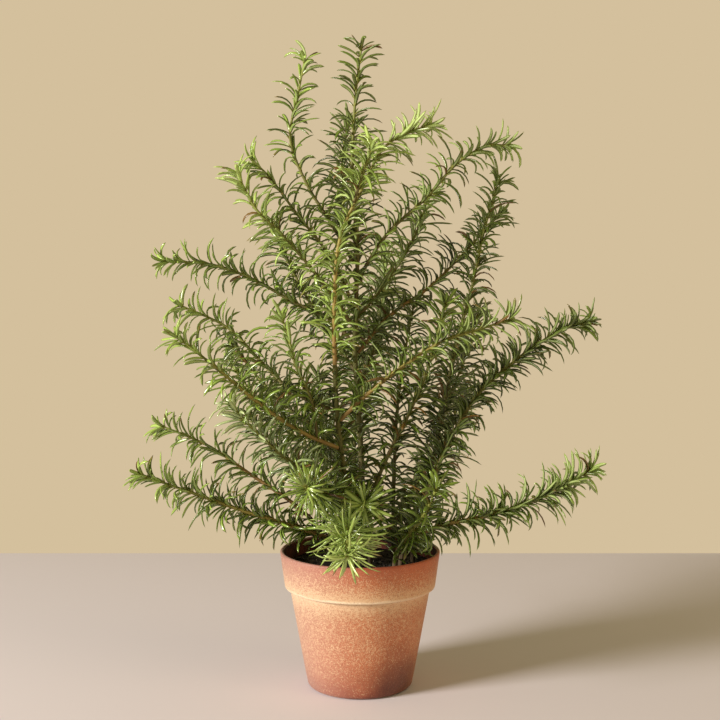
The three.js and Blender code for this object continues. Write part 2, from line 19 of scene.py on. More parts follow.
import bmesh
import bpy
import numpy as np
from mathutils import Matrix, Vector

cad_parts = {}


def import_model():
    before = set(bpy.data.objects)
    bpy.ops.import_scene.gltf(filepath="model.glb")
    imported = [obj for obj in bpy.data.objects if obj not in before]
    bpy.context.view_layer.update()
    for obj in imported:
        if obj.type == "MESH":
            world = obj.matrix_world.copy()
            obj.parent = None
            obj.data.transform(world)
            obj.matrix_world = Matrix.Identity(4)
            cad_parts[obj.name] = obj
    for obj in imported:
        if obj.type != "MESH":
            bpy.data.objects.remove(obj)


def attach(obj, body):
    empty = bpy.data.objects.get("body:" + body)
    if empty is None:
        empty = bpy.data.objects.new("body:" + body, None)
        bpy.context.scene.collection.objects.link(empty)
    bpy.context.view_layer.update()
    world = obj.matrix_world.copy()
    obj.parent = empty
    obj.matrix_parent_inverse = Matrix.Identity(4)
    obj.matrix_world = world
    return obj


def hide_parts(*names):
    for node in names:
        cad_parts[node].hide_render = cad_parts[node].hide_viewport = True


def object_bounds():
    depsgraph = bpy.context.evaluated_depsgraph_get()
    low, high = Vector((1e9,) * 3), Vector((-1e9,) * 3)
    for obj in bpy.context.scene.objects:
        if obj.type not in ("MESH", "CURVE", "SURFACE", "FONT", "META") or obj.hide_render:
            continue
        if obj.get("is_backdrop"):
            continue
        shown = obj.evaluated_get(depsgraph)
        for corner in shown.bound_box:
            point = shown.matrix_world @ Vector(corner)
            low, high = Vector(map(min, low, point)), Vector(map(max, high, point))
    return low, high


log = logging.getLogger("rosemary")

MM = 0.001
SEED = 4127
SPARSE_SEED = SEED + 500
CRUMB_SEED = SEED + 900
TUFT_SEED_STEP = 300
Colour = tuple[float, float, float, float]
Point = tuple[float, float, float]


def paint(red: float, green: float, blue: float) -> Colour:
    """Turns a colour as a screen shows it, 0 to 255, into the shader's own numbers.

    Args:
        red: Red on the screen.
        green: Green on the screen.
        blue: Blue on the screen.

    Returns:
        The colour in linear light, with full alpha.
    """

    def linear(value: float) -> float:
        """Undoes the screen's curve for one channel."""
        share = value / 255
        return share / 12.92 if share <= 0.04045 else ((share + 0.055) / 1.055) ** 2.4

    return (linear(red), linear(green), linear(blue), 1.0)


# ---- How the plant grows: routes and places in millimetres ----


class Tone(Enum):
    """How green a spray is."""

    DEEP = "deep"
    LIVELY = "lively"
    SPRING = "spring"
    FRESH = "fresh"
    SILVER = "silver"


class Core(Enum):
    """How woody a spray's shoot looks."""

    GREEN = "green"
    OCHRE = "ochre"
    BROWN = "brown"


@dataclass(frozen=True)
class StemPlan:
    """A woody stem that stands in the soil, and the spray that it ends in.

    Sizes are in millimetres. points runs from the soil's surface to the spray's tip,
    bark_end is how far along it the bark goes, and sparse is how far along the bark
    single needles start. fullness is how many needles the spray has, where 1 is one
    whorl after the other.
    """

    name: str
    radii: tuple[float, float]
    bark_end: float
    points: tuple[Point, ...]
    tone: Tone = Tone.DEEP
    core: Core = Core.GREEN
    sparse: float = 10.0
    fullness: float = 1.0


@dataclass(frozen=True)
class SidePlan:
    """A spray that leaves a stem or another spray at its side, start along its route.

    radius is that of its foot, and tone, core and fullness are those of a stem's spray.
    A starry one turns its tip to the viewer and spreads its needles wide, and star is
    how long they are. It is 0 for any other spray.
    """

    name: str
    radius: float
    start: float
    points: tuple[Point, ...]
    tone: Tone = Tone.DEEP
    core: Core = Core.GREEN
    fullness: float = 1.0
    star: float = 0.0


ROOTED: tuple[StemPlan, ...] = (
    StemPlan("leader", (2.6, 1.9), 208.25, (
        (3, 6, 99), (2, 6, 135), (1, 6, 183), (-2, 5, 230), (-4, 4, 267), (-3, 3, 307),
        (-2, 2, 354), (-6, 0, 400), (-5, 0, 441), (-3, 0, 470), (1, 0, 502)), sparse=42,
        fullness=0.8),
    StemPlan("front_tall", (2.4, 1.8), 162, (
        (-5, -22, 99), (-8, -24, 145), (-14, -31, 189), (-17, -36, 216),
        (-19, -41, 259), (-19, -48, 308), (-15, -52, 352), (1, -55, 389),
        (18, -54, 420), (35, -49, 431), (51, -42, 437)), Tone.FRESH, Core.OCHRE,
        sparse=60),
    StemPlan("right_tall", (2.2, 1.8), 70.5, (
        (42, 6, 99), (45, 8, 140), (56, 10, 167), (65, 12, 211), (77, 16, 270),
        (89, 20, 314), (99, 19, 361), (109, 14, 400)), sparse=6),
    StemPlan("right_reach", (2.3, 1.8), 57.75, (
        (32, -8, 99), (39, -10, 134), (51, -12, 152), (68, -12, 193), (93, -10, 234),
        (127, -8, 264), (155, -6, 282), (179, -4, 290)), sparse=6, fullness=1.85),
    StemPlan("inner_right", (2, 1.6), 78, (
        (27, 20, 99), (27, 20, 140), (28, 22, 177), (31, 28, 225), (38, 36, 270),
        (44, 46, 300))),
    StemPlan("mid_right", (2, 1.6), 91, (
        (8, -8, 99), (9, -13, 150), (22, -18, 187), (39, -22, 222), (54, -27, 261),
        (65, -32, 305))),
    StemPlan("low_left", (2.4, 2), 25.5, (
        (-17, -12, 99), (-19, -12, 111), (-27, -15, 121), (-47, -22, 130),
        (-88, -32, 145), (-129, -38, 161), (-167, -40, 175)), Tone.LIVELY, Core.OCHRE,
        sparse=5, fullness=1.45),
    StemPlan("low_left_back", (2.2, 1.8), 30.5, (
        (-24, 5, 99), (-27, 5, 112), (-35, 5, 127), (-52, 6, 143), (-87, 12, 166),
        (-122, 16, 189), (-159, 16, 205)), Tone.LIVELY, Core.BROWN, sparse=5,
        fullness=0.8),
    StemPlan("low_right", (2.3, 1.9), 25.5, (
        (27, -20, 99), (29, -20, 110), (38, -21, 121), (62, -25, 132), (107, -30, 144),
        (142, -30, 157), (178, -26, 176)), Tone.LIVELY, Core.OCHRE, sparse=4,
        fullness=2.2),
    StemPlan("back", (2.4, 1.8), 92.5, (
        (-2, 27, 99), (-3, 32, 150), (-5, 40, 190), (2, 78, 224), (2, 112, 262),
        (-3, 138, 300)), sparse=30),
)

SIDE: tuple[SidePlan, ...] = (
    SidePlan("top_left", 1.5, 4.6, (
        (-3, 2, 332), (-21, 10, 364), (-43, 13, 400), (-55, 11, 434), (-49, 7, 465),
        (-43, 3, 493)), Tone.LIVELY, fullness=0.68),
    SidePlan("top_right", 1.5, 7, (
        (-3, 2, 321), (21, 0, 358), (51, -4, 386), (77, -8, 414), (99, -10, 426),
        (112, -10, 426)), Tone.LIVELY, fullness=0.82),
    SidePlan("front_tip", 1.2, 13.3, (
        (-8, -53, 368), (1, -62, 397), (8, -68, 417)), Tone.FRESH),
    SidePlan("upper_left", 1.5, 7, (
        (-3, 3, 298), (-23, -8, 340), (-49, -20, 374), (-70, -28, 402),
        (-80, -30, 411)), Tone.LIVELY, fullness=0.64),
    SidePlan("upper_left_front", 1.5, 4.9, (
        (-4, 4, 284), (-27, -14, 318), (-58, -34, 356), (-78, -40, 376),
        (-91, -44, 401)), Tone.FRESH, fullness=0.85),
    SidePlan("left_high", 1.6, 5.1, (
        (-4, 4, 270), (-20, 8, 289), (-51, 11, 304), (-87, 12, 324), (-119, 10, 335),
        (-153, 6, 337)), Tone.LIVELY, fullness=0.88),
    SidePlan("left_mid", 1.6, 3.5, (
        (-17, -37, 222), (-51, -28, 237), (-76, -18, 259), (-102, -13, 285),
        (-140, -10, 303)), Tone.LIVELY, fullness=0.85),
    SidePlan("left_front", 1.7, 4.2, (
        (-14, -32, 193), (-46, -50, 210), (-78, -66, 235), (-105, -77, 260),
        (-132, -82, 282)), Tone.LIVELY, Core.OCHRE, 0.85),
    SidePlan("left_silver", 1.4, 3, (
        (-10, -27, 160), (-38, -46, 175), (-65, -60, 199), (-85, -67, 220),
        (-94, -70, 231)), Tone.SILVER, fullness=1.15),
    SidePlan("left_inner", 1.4, 3.7, (
        (2, 6, 146), (-36, 2, 163), (-60, 8, 183), (-79, 14, 202), (-90, 17, 215))),
    SidePlan("left_upright", 1.2, 3, (
        (-32, -42, 202), (-37, -46, 234), (-48, -47, 258), (-54, -44, 281),
        (-58, -42, 292)), Tone.LIVELY, fullness=0.85),
    SidePlan("right_brown", 1.6, 4.7, (
        (-4, 4, 262), (23, 20, 293), (58, 32, 318), (90, 39, 350), (112, 40, 374)),
        core=Core.BROWN, fullness=0.9),
    SidePlan("front_right", 1.6, 4.3, (
        (-17, -36, 214), (1, -46, 233), (27, -56, 255), (59, -64, 277),
        (85, -67, 286), (110, -67, 294)), Tone.SPRING, Core.OCHRE, 0.95),
    SidePlan("front_droop", 1.4, 2.6, (
        (-7, -24, 135), (-8, -50, 142), (-9, -75, 136), (-9, -92, 125)), Tone.FRESH,
        fullness=3.0, star=24),
    SidePlan("front_left_burst", 1.4, 3.1, (
        (-9, -25, 150), (-24, -55, 162), (-35, -82, 171), (-39, -100, 176)),
        Tone.SPRING, fullness=2.0, star=20),
    SidePlan("inner_burst", 1.3, 3, (
        (9, -12, 140), (4, -45, 153), (3, -68, 157)), Tone.LIVELY, fullness=1.6),
    SidePlan("low_front_right", 1.4, 5.1, (
        (28, -20, 106), (36, -42, 128), (48, -64, 150), (56, -76, 170))),
    SidePlan("back_low", 1.5, 3.5, (
        (-3, 31, 138), (-20, 80, 170), (-32, 120, 205), (-38, 148, 232))),
    SidePlan("back_low_right", 1.5, 2.8, (
        (27, 20, 125), (50, 70, 150), (76, 104, 188), (93, 128, 222)), Tone.LIVELY),
    SidePlan("back_left", 1.5, 3.9, (
        (-3, 33, 160), (-50, 72, 185), (-92, 98, 222), (-116, 108, 252)), Tone.LIVELY),
    SidePlan("back_left_side", 1.5, 4.4, (
        (-4, 37, 178), (-50, 52, 208), (-86, 66, 240), (-108, 74, 268))),
    SidePlan("back_mid", 1.5, 3.3, (
        (-2, 5, 235), (12, 52, 268), (20, 90, 308), (23, 114, 345)), Tone.LIVELY),
    SidePlan("back_upper_left", 1.5, 4, (
        (-3, 5, 249), (-36, 43, 295), (-60, 68, 338), (-70, 78, 368))),
    SidePlan("back_upper_right", 1.5, 3.6, (
        (-3, 3, 291), (28, 38, 330), (48, 58, 364), (57, 66, 392)), Tone.LIVELY),
    SidePlan("back_top", 1.4, 4, (
        (-2, 2, 346), (-12, 36, 380), (-14, 56, 424), (-10, 64, 452))),
    SidePlan("back_right", 1.4, 3.7, (
        (62, 11, 197), (75, 55, 225), (93, 88, 262), (103, 106, 292))),
)


def seeded_draw(seed: int) -> Callable[[], float]:
    """Makes the draw that the solids' needles were placed with.

    Args:
        seed: The whole number that it starts from.

    Returns:
        A function that gives the next number between 0 and 1.
    """
    low32 = 0xFFFFFFFF
    state = seed & low32

    def draw() -> float:
        """Gives the next number.

        Returns:
            A number from 0 up to 1.
        """
        nonlocal state
        state = (state + 0x6D2B79F5) & low32
        mixed = ((state ^ (state >> 15)) * (1 | state)) & low32
        mixed ^= (mixed + (((mixed ^ (mixed >> 7)) * (61 | mixed)) & low32)) & low32
        return ((mixed ^ (mixed >> 14)) & low32) / (low32 + 1)

    return draw


def blend(first: float, last: float, share: float) -> float:
    """Gives the number that lies this share of the way from first to last."""
    return first + (last - first) * share


class Place(NamedTuple):
    """A place on a route, with its three directions."""

    point: np.ndarray
    forward: np.ndarray
    side: np.ndarray
    front: np.ndarray


class Route:
    """A smooth line through given points, measured along its length."""

    SAMPLES = 400
    NUDGE = 1e-4
    SHORTEST = 1e-4

    def __init__(self, points: Sequence[Point]) -> None:
        """Measures the line through the points.

        Args:
            points: The points in millimetres.
        """
        self.points = np.array(points, float)
        self.shares = np.linspace(0, 1, self.SAMPLES + 1)
        self.samples = np.array([self.point_at(share) for share in self.shares])
        steps = np.linalg.norm(np.diff(self.samples, axis=0), axis=1)
        self.reached = np.concatenate([[0.0], np.cumsum(steps)])
        self.length = float(self.reached[-1])
        whole = np.abs(self.points[-1] - self.points[0])
        self.reference = np.eye(3)[int(np.argmin(whole))]

    def point_at(self, share: float) -> np.ndarray:
        """Gives the point at a share of the line's own parameter.

        Args:
            share: From 0 at the first point to 1 at the last.

        Returns:
            The point, on a centripetal spline through the given points.
        """
        last = len(self.points) - 1
        whole = min(int(last * share), last - 1)
        weight = last * share - whole
        start, end = self.points[whole], self.points[whole + 1]
        before = self.points[whole - 1] if whole > 0 else 2 * start - end
        after = self.points[whole + 2] if whole + 2 <= last else 2 * end - start
        apart = [
            max(float((b - a) @ (b - a)) ** 0.25, self.SHORTEST)
            for a, b in ((before, start), (start, end), (end, after))
        ]
        leave = (
            (start - before) / apart[0]
            - (end - before) / (apart[0] + apart[1])
            + (end - start) / apart[1]
        ) * apart[1]
        arrive = (
            (end - start) / apart[1]
            - (after - start) / (apart[1] + apart[2])
            + (after - end) / apart[2]
        ) * apart[1]
        square, cube = weight**2, weight**3
        return (
            start
            + leave * weight
            + (3 * (end - start) - 2 * leave - arrive) * square
            + (2 * (start - end) + leave + arrive) * cube
        )

    def at(self, along: float) -> Place:
        """Gives the place this many millimetres along the line.

        Args:
            along: Millimetres from the first point.

        Returns:
            The place, its direction forward, and two directions square to it.
        """
        measured = min(max(along, 0.0), self.length)
        share = float(np.interp(measured, self.reached, self.shares))
        ahead = self.point_at(min(share + self.NUDGE, 1.0))
        forward = ahead - self.point_at(max(share - self.NUDGE, 0.0))
        forward /= np.linalg.norm(forward)
        side = np.cross(forward, self.reference)
        side /= np.linalg.norm(side)
        return Place(self.point_at(share), forward, side, np.cross(forward, side))

    def nearest(self, points: np.ndarray) -> np.ndarray:
        """Gives how far along the line each point lies.

        Args:
            points: One point a row, in millimetres.

        Returns:
            Millimetres along the line, one number a point.
        """
        apart = np.linalg.norm(points[:, None, :] - self.samples[None, :, :], axis=2)
        return self.reached[np.argmin(apart, axis=1)]


def spun(out: np.ndarray, forward: np.ndarray, turn: np.ndarray) -> np.ndarray:
    """Turns directions about their shoot.

    Args:
        out: Directions away from the shoot, one a row.
        forward: The shoot's direction at each.
        turn: How far each turns, in radians.

    Returns:
        The turned directions.
    """
    angle = turn[:, None]
    return out * np.cos(angle) + np.cross(forward, out) * np.sin(angle)


@dataclass
class NeedleBatch:
    """Many needles, one a row: where each leaves its shoot and how it bends.

    The first constants say how single needles differ. Those that start with BESIDE say
    how an added needle differs from its neighbour, in radians, millimetres or shares.
    """

    place: np.ndarray
    forward: np.ndarray
    out: np.ndarray
    length: np.ndarray
    lean: np.ndarray
    bend: np.ndarray
    age: np.ndarray
    core: np.ndarray

    LENGTHS = (1.0, 1.54)
    LEANS = (0.06, 0.2)
    LEAST_LEAN = 0.2
    BENDS = (0.5, 1.35)
    TURN_SCATTER = 0.2
    BESIDE_TURNS = (0.35, 0.8)
    BESIDE_SHIFT = 2.4
    BESIDE_LENGTHS = (0.7, 1.05)
    BESIDE_STEEPER = (-0.15, 0.3)
    BESIDE_LEAST_LEAN = 0.25
    BESIDE_BENDS = (0.6, 1.2)

    def __len__(self) -> int:
        """Counts the needles."""
        return len(self.length)

    def kept(self, which: np.ndarray) -> "NeedleBatch":
        """Gives the needles that the mask keeps, as a batch of their own."""
        return NeedleBatch(*(values[which] for values in vars(self).values()))

    def with_more(self, other: "NeedleBatch") -> "NeedleBatch":
        """Gives this batch and the other one together."""
        pairs = zip(vars(self).values(), vars(other).values(), strict=True)
        return NeedleBatch(*(np.concatenate(pair) for pair in pairs))

    def filled(self, seed: int, fullness: float) -> "NeedleBatch":
        """Thins these needles, or adds others beside some of them.

        Args:
            seed: What the missing needles and the companions are drawn from.
            fullness: How many needles there are at the end for each one now, at most 3.

        Returns:
            The needles that stay, with their companions.
        """
        draw = np.random.default_rng(seed)
        picks = draw.uniform(0, 1, len(self))
        if fullness < 1:
            return self.kept(picks < fullness)
        whole = self
        for already in (1, 2):
            beside = self.kept(picks < fullness - already)
            count = len(beside)
            turn = draw.uniform(*self.BESIDE_TURNS, count)
            turn *= draw.choice([-1.0, 1.0], count)
            beside.out = spun(beside.out, beside.forward, turn)
            aside = draw.uniform(-self.BESIDE_SHIFT, self.BESIDE_SHIFT, count)
            beside.place = beside.place + beside.forward * aside[:, None]
            beside.length = beside.length * draw.uniform(*self.BESIDE_LENGTHS, count)
            lean = beside.lean - draw.uniform(*self.BESIDE_STEEPER, count)
            beside.lean = np.maximum(lean, self.BESIDE_LEAST_LEAN)
            beside.bend = beside.bend * draw.uniform(*self.BESIDE_BENDS, count)
            whole = whole.with_more(beside)
        return whole

    def varied(self, seed: int) -> "NeedleBatch":
        """Gives the same needles, each with its own length, lean and curve.

        Args:
            seed: What the differences are drawn from.

        Returns:
            The changed needles.
        """
        draw = np.random.default_rng(seed)
        count = len(self)
        length = self.length * draw.uniform(*self.LENGTHS, count)
        lean = np.maximum(self.lean + draw.normal(*self.LEANS, count), self.LEAST_LEAN)
        bend = self.bend * draw.uniform(*self.BENDS, count)
        out = spun(self.out, self.forward, draw.normal(0, self.TURN_SCATTER, count))
        return replace(self, length=length, lean=lean, bend=bend, out=out)


@dataclass(frozen=True)
class NeedleRule:
    """How needles stand round a shoot. Lengths in millimetres, angles in radians."""

    length: float = 20.0
    whorl_step: float = 5.6
    whorl_needles: int = 5
    whorl_turn: float = 0.63
    old_lean: float = 0.87
    tip_lean: float = 0.56
    old_bend: float = 0.8
    tip_bend: float = 0.5
    scatter: float = 0.3

    LENGTHS = (0.82, 1.12)
    TIP_LENGTH = 0.72
    TURN_SCATTER = 0.7
    LEAN_SCATTER = 0.3
    BENDS = (0.5, 1.5)
    YOUTH_POWER = 6

    def along(
        self, route: Route, first: float, last: float, radius: float, seed: int
    ) -> NeedleBatch:
        """Places whorls of needles from one place on a route to another.

        Args:
            route: The line of the shoot.
            first: Where the lowest whorl's stretch starts, along the route.
            last: Where the highest one's ends.
            radius: The shoot's radius there.
            seed: What the draw starts from.

        Returns:
            The needles, from the foot of the stretch to its tip.
        """
        draw = seeded_draw(seed)
        leafy = last - first
        whorls = max(1, round(leafy / self.whorl_step))
        phase = draw() * math.tau
        rows = []
        for k in range(whorls):
            share = (k + 0.5) / whorls
            young = share**self.YOUTH_POWER
            shorter = blend(1, self.TIP_LENGTH, young)
            for j in range(self.whorl_needles):
                aside = (draw() - 0.5) * self.whorl_step * self.scatter
                turn = phase + k * self.whorl_turn + j / self.whorl_needles * math.tau
                turn += (draw() - 0.5) * self.TURN_SCATTER
                length = self.length * blend(*self.LENGTHS, draw()) * shorter
                lean = blend(self.old_lean, self.tip_lean, young)
                lean += (draw() - 0.5) * self.LEAN_SCATTER
                bend = blend(self.old_bend, self.tip_bend, young)
                bend *= blend(*self.BENDS, draw())
                at = route.at(first + leafy * share + aside)
                out = at.side * math.cos(turn) + at.front * math.sin(turn)
                rows.append((at.point, at.forward, out, length, lean, bend, share))
        columns = [np.array(values, float) for values in zip(*rows, strict=True)]
        return NeedleBatch(*columns, core=np.full(len(rows), radius))


# ---- Modelling by hand ----


def drop_selection() -> None:
    """Leaves every object deselected, as an operator acts on all that is selected."""
    bpy.ops.object.select_all(action="DESELECT")


def take(piece: bpy.types.Object) -> None:
    """Makes a piece the only selected object, and the active one.

    Args:
        piece: The piece.
    """
    drop_selection()
    piece.select_set(True)
    bpy.context.view_layer.objects.active = piece


@contextmanager
def in_edit_mode(piece: bpy.types.Object) -> Iterator[None]:
    """Opens a piece for editing, and closes it again at the end.

    Args:
        piece: The mesh or curve to edit.

    Yields:
        Nothing.
    """
    take(piece)
    bpy.ops.object.mode_set(mode="EDIT")
    yield
    bpy.ops.object.mode_set(mode="OBJECT")


def new_primitive(kind: str, **settings: Any) -> bpy.types.Object:
    """Adds one of the basic meshes, with nothing else selected.

    Args:
        kind: Which one, such as circle or plane.
        **settings: Its sizes and its place.

    Returns:
        The mesh.
    """
    drop_selection()
    getattr(bpy.ops.mesh, f"primitive_{kind}_add")(**settings)
    return bpy.context.active_object


def keep_transform() -> None:
    """Writes the active piece's place, turn and scale into its mesh."""
    bpy.ops.object.transform_apply(location=True, rotation=True, scale=True)


def smooth(piece: bpy.types.Object, degrees: float) -> None:
    """Shades a piece smooth, apart from edges that are sharper than this angle."""
    take(piece)
    bpy.ops.object.shade_smooth_by_angle(angle=math.radians(degrees))


def named(piece: bpy.types.Object, name: str) -> bpy.types.Object:
    """Names a piece and its mesh, and gives the piece back."""
    piece.name = piece.data.name = name
    return piece


def pick_faces(
    piece: bpy.types.Object, wanted: Callable[[bmesh.types.BMFace], bool]
) -> None:
    """Selects the faces of a piece in edit mode by their place or normal.

    Args:
        piece: The mesh in edit mode.
        wanted: Says of a face whether it is taken.
    """
    bpy.ops.mesh.select_mode(type="FACE")
    bpy.ops.mesh.select_all(action="DESELECT")
    shape = bmesh.from_edit_mesh(piece.data)
    for face in shape.faces:
        face.select_set(wanted(face))
    bmesh.update_edit_mesh(piece.data)


def face_outward() -> None:
    """Turns every face of the mesh in edit mode outward."""
    bpy.ops.mesh.select_all(action="SELECT")
    bpy.ops.mesh.normals_make_consistent(inside=False)


def resize(factor: float, height: float) -> None:
    """Scales what is selected across, about a place on the Z axis, in metres."""
    bpy.ops.transform.resize(
        value=(factor, factor, 1), center_override=(0, 0, height))


def draw_up(rings: Sequence[tuple[float, float]], unit: float) -> None:
    """Extrudes the selected face up, ring by ring.

    Args:
        rings: Radius and height of each ring. The face lies at the first one.
        unit: How many metres one of the rings' units has.
    """
    for (radius, height), (wider, higher) in pairwise(rings):
        rise = (0, 0, (higher - height) * unit)
        bpy.ops.mesh.extrude_region_move(TRANSFORM_OT_translate={"value": rise})
        resize(wider / radius, higher * unit)


def apply_modifier(piece: bpy.types.Object, kind: str, **settings: Any) -> None:
    """Adds a modifier to a piece and applies it.

    Args:
        piece: The mesh.
        kind: The modifier's type.
        **settings: Its settings by name.
    """
    take(piece)
    made = piece.modifiers.new(kind.lower(), kind)
    for name, value in settings.items():
        setattr(made, name, value)
    bpy.ops.object.modifier_apply(modifier=made.name)


def displace(piece: bpy.types.Object, size: float, **settings: Any) -> None:
    """Moves a piece's surface in and out by a cloudy pattern.

    Args:
        piece: The mesh.
        size: How large the pattern is, in metres.
        **settings: The modifier's settings by name.
    """
    clouds = bpy.data.textures.new("relief", "CLOUDS")
    clouds.noise_scale = size
    apply_modifier(
        piece, "DISPLACE", texture=clouds, texture_coords="LOCAL", **settings)


def joined(pieces: Sequence[bpy.types.Object], name: str) -> bpy.types.Object:
    """Joins pieces to one.

    Args:
        pieces: The meshes. The first one keeps its object.
        name: The name of the piece that they make.

    Returns:
        The joined piece.
    """
    drop_selection()
    for piece in pieces:
        piece.select_set(True)
    bpy.context.view_layer.objects.active = pieces[0]
    bpy.ops.object.join()
    return named(pieces[0], name)


def turned_solid(
    name: str, rings: Sequence[tuple[float, float]], sides: int
) -> bpy.types.Object:
    """Makes a turned solid from a disc that is drawn up ring by ring.

    Args:
        name: The piece's name.
        rings: Radius and height of each ring in millimetres. The first and the last
            ring stay closed by a flat face.
        sides: How many sides the rings have.

    Returns:
        The solid, upright on the Z axis.
    """
    radius, height = rings[0]
    piece = new_primitive("circle", vertices=sides, radius=radius * MM,
                          fill_type="NGON", location=(0, 0, height * MM))
    keep_transform()
    with in_edit_mode(piece):
        bpy.ops.mesh.select_all(action="SELECT")
        draw_up(rings, MM)
        face_outward()
    return named(piece, name)


def drawn_tube(
    name: str, points: np.ndarray, radii: Sequence[float], roundness: int
) -> bpy.types.Object:
    """Draws a line from its end, point by point, and gives it its thickness.

    Args:
        name: The piece's name.
        points: The line in millimetres, one point a row.
        radii: The tube's radius at each point in millimetres.
        roundness: The tube has twice this and four sides.

    Returns:
        The tube as a closed mesh.
    """
    drop_selection()
    bpy.ops.curve.primitive_bezier_curve_add(enter_editmode=True, location=(0, 0, 0))
    line = bpy.context.active_object.data
    bpy.ops.curve.spline_type_set(type="POLY")
    spline = line.splines[0]
    for control, point in zip(spline.points, points[:2] * MM, strict=True):
        control.co = (*point, 1)
    bpy.ops.curve.select_all(action="DESELECT")
    spline.points[-1].select = True
    for step in np.diff(points[1:] * MM, axis=0):
        bpy.ops.curve.extrude_move(TRANSFORM_OT_translate={"value": tuple(step)})
    bpy.ops.object.mode_set(mode="OBJECT")
    line.dimensions = "3D"
    line.bevel_depth = 1.0
    line.bevel_resolution = roundness
    line.use_fill_caps = True
    for control, radius in zip(line.splines[0].points, radii, strict=True):
        control.radius = radius * MM
    bpy.ops.object.convert(target="MESH")
    piece = bpy.context.active_object
    with in_edit_mode(piece):
        bpy.ops.mesh.select_all(action="SELECT")
        bpy.ops.mesh.remove_doubles(threshold=1e-6)
        face_outward()
    smooth(piece, 60)
    return named(piece, name)


class Hole(NamedTuple):
    """An upright round hole. Sizes in millimetres."""

    x: float
    y: float
    radius: float
    low: float
    high: float


def pierce(piece: bpy.types.Object, holes: Sequence[Hole], sides: int) -> None:
    """Cuts upright round holes into a solid.

    Args:
        piece: The solid.
        holes: The holes.
        sides: How many sides each hole has.
    """
    pegs = [
        new_primitive(
            "cylinder", vertices=sides, radius=hole.radius * MM,
            depth=(hole.high - hole.low) * MM,
            location=(hole.x * MM, hole.y * MM, (hole.high + hole.low) / 2 * MM))
        for hole in holes
    ]
    cutter = joined(pegs, "cutter")
    apply_modifier(
        piece, "BOOLEAN", object=cutter, operation="DIFFERENCE", solver="EXACT")
    bpy.data.objects.remove(cutter)


def set_attribute(piece: bpy.types.Object, name: str, values: np.ndarray) -> None:
    """Writes one number a point to a mesh, for its material to read."""
    layer = piece.data.attributes.new(name, "FLOAT", "POINT")
    layer.data.foreach_set("value", values.astype(np.float32))


def points_of(piece: bpy.types.Object) -> np.ndarray:
    """Gives a mesh's points.

    Args:
        piece: The mesh.

    Returns:
        The points in metres, one a row.
    """
    found = np.zeros(len(piece.data.vertices) * 3, np.float32)
    piece.data.vertices.foreach_get("co", found)
    return found.reshape(-1, 3).astype(float)


# ---- Finishes ----


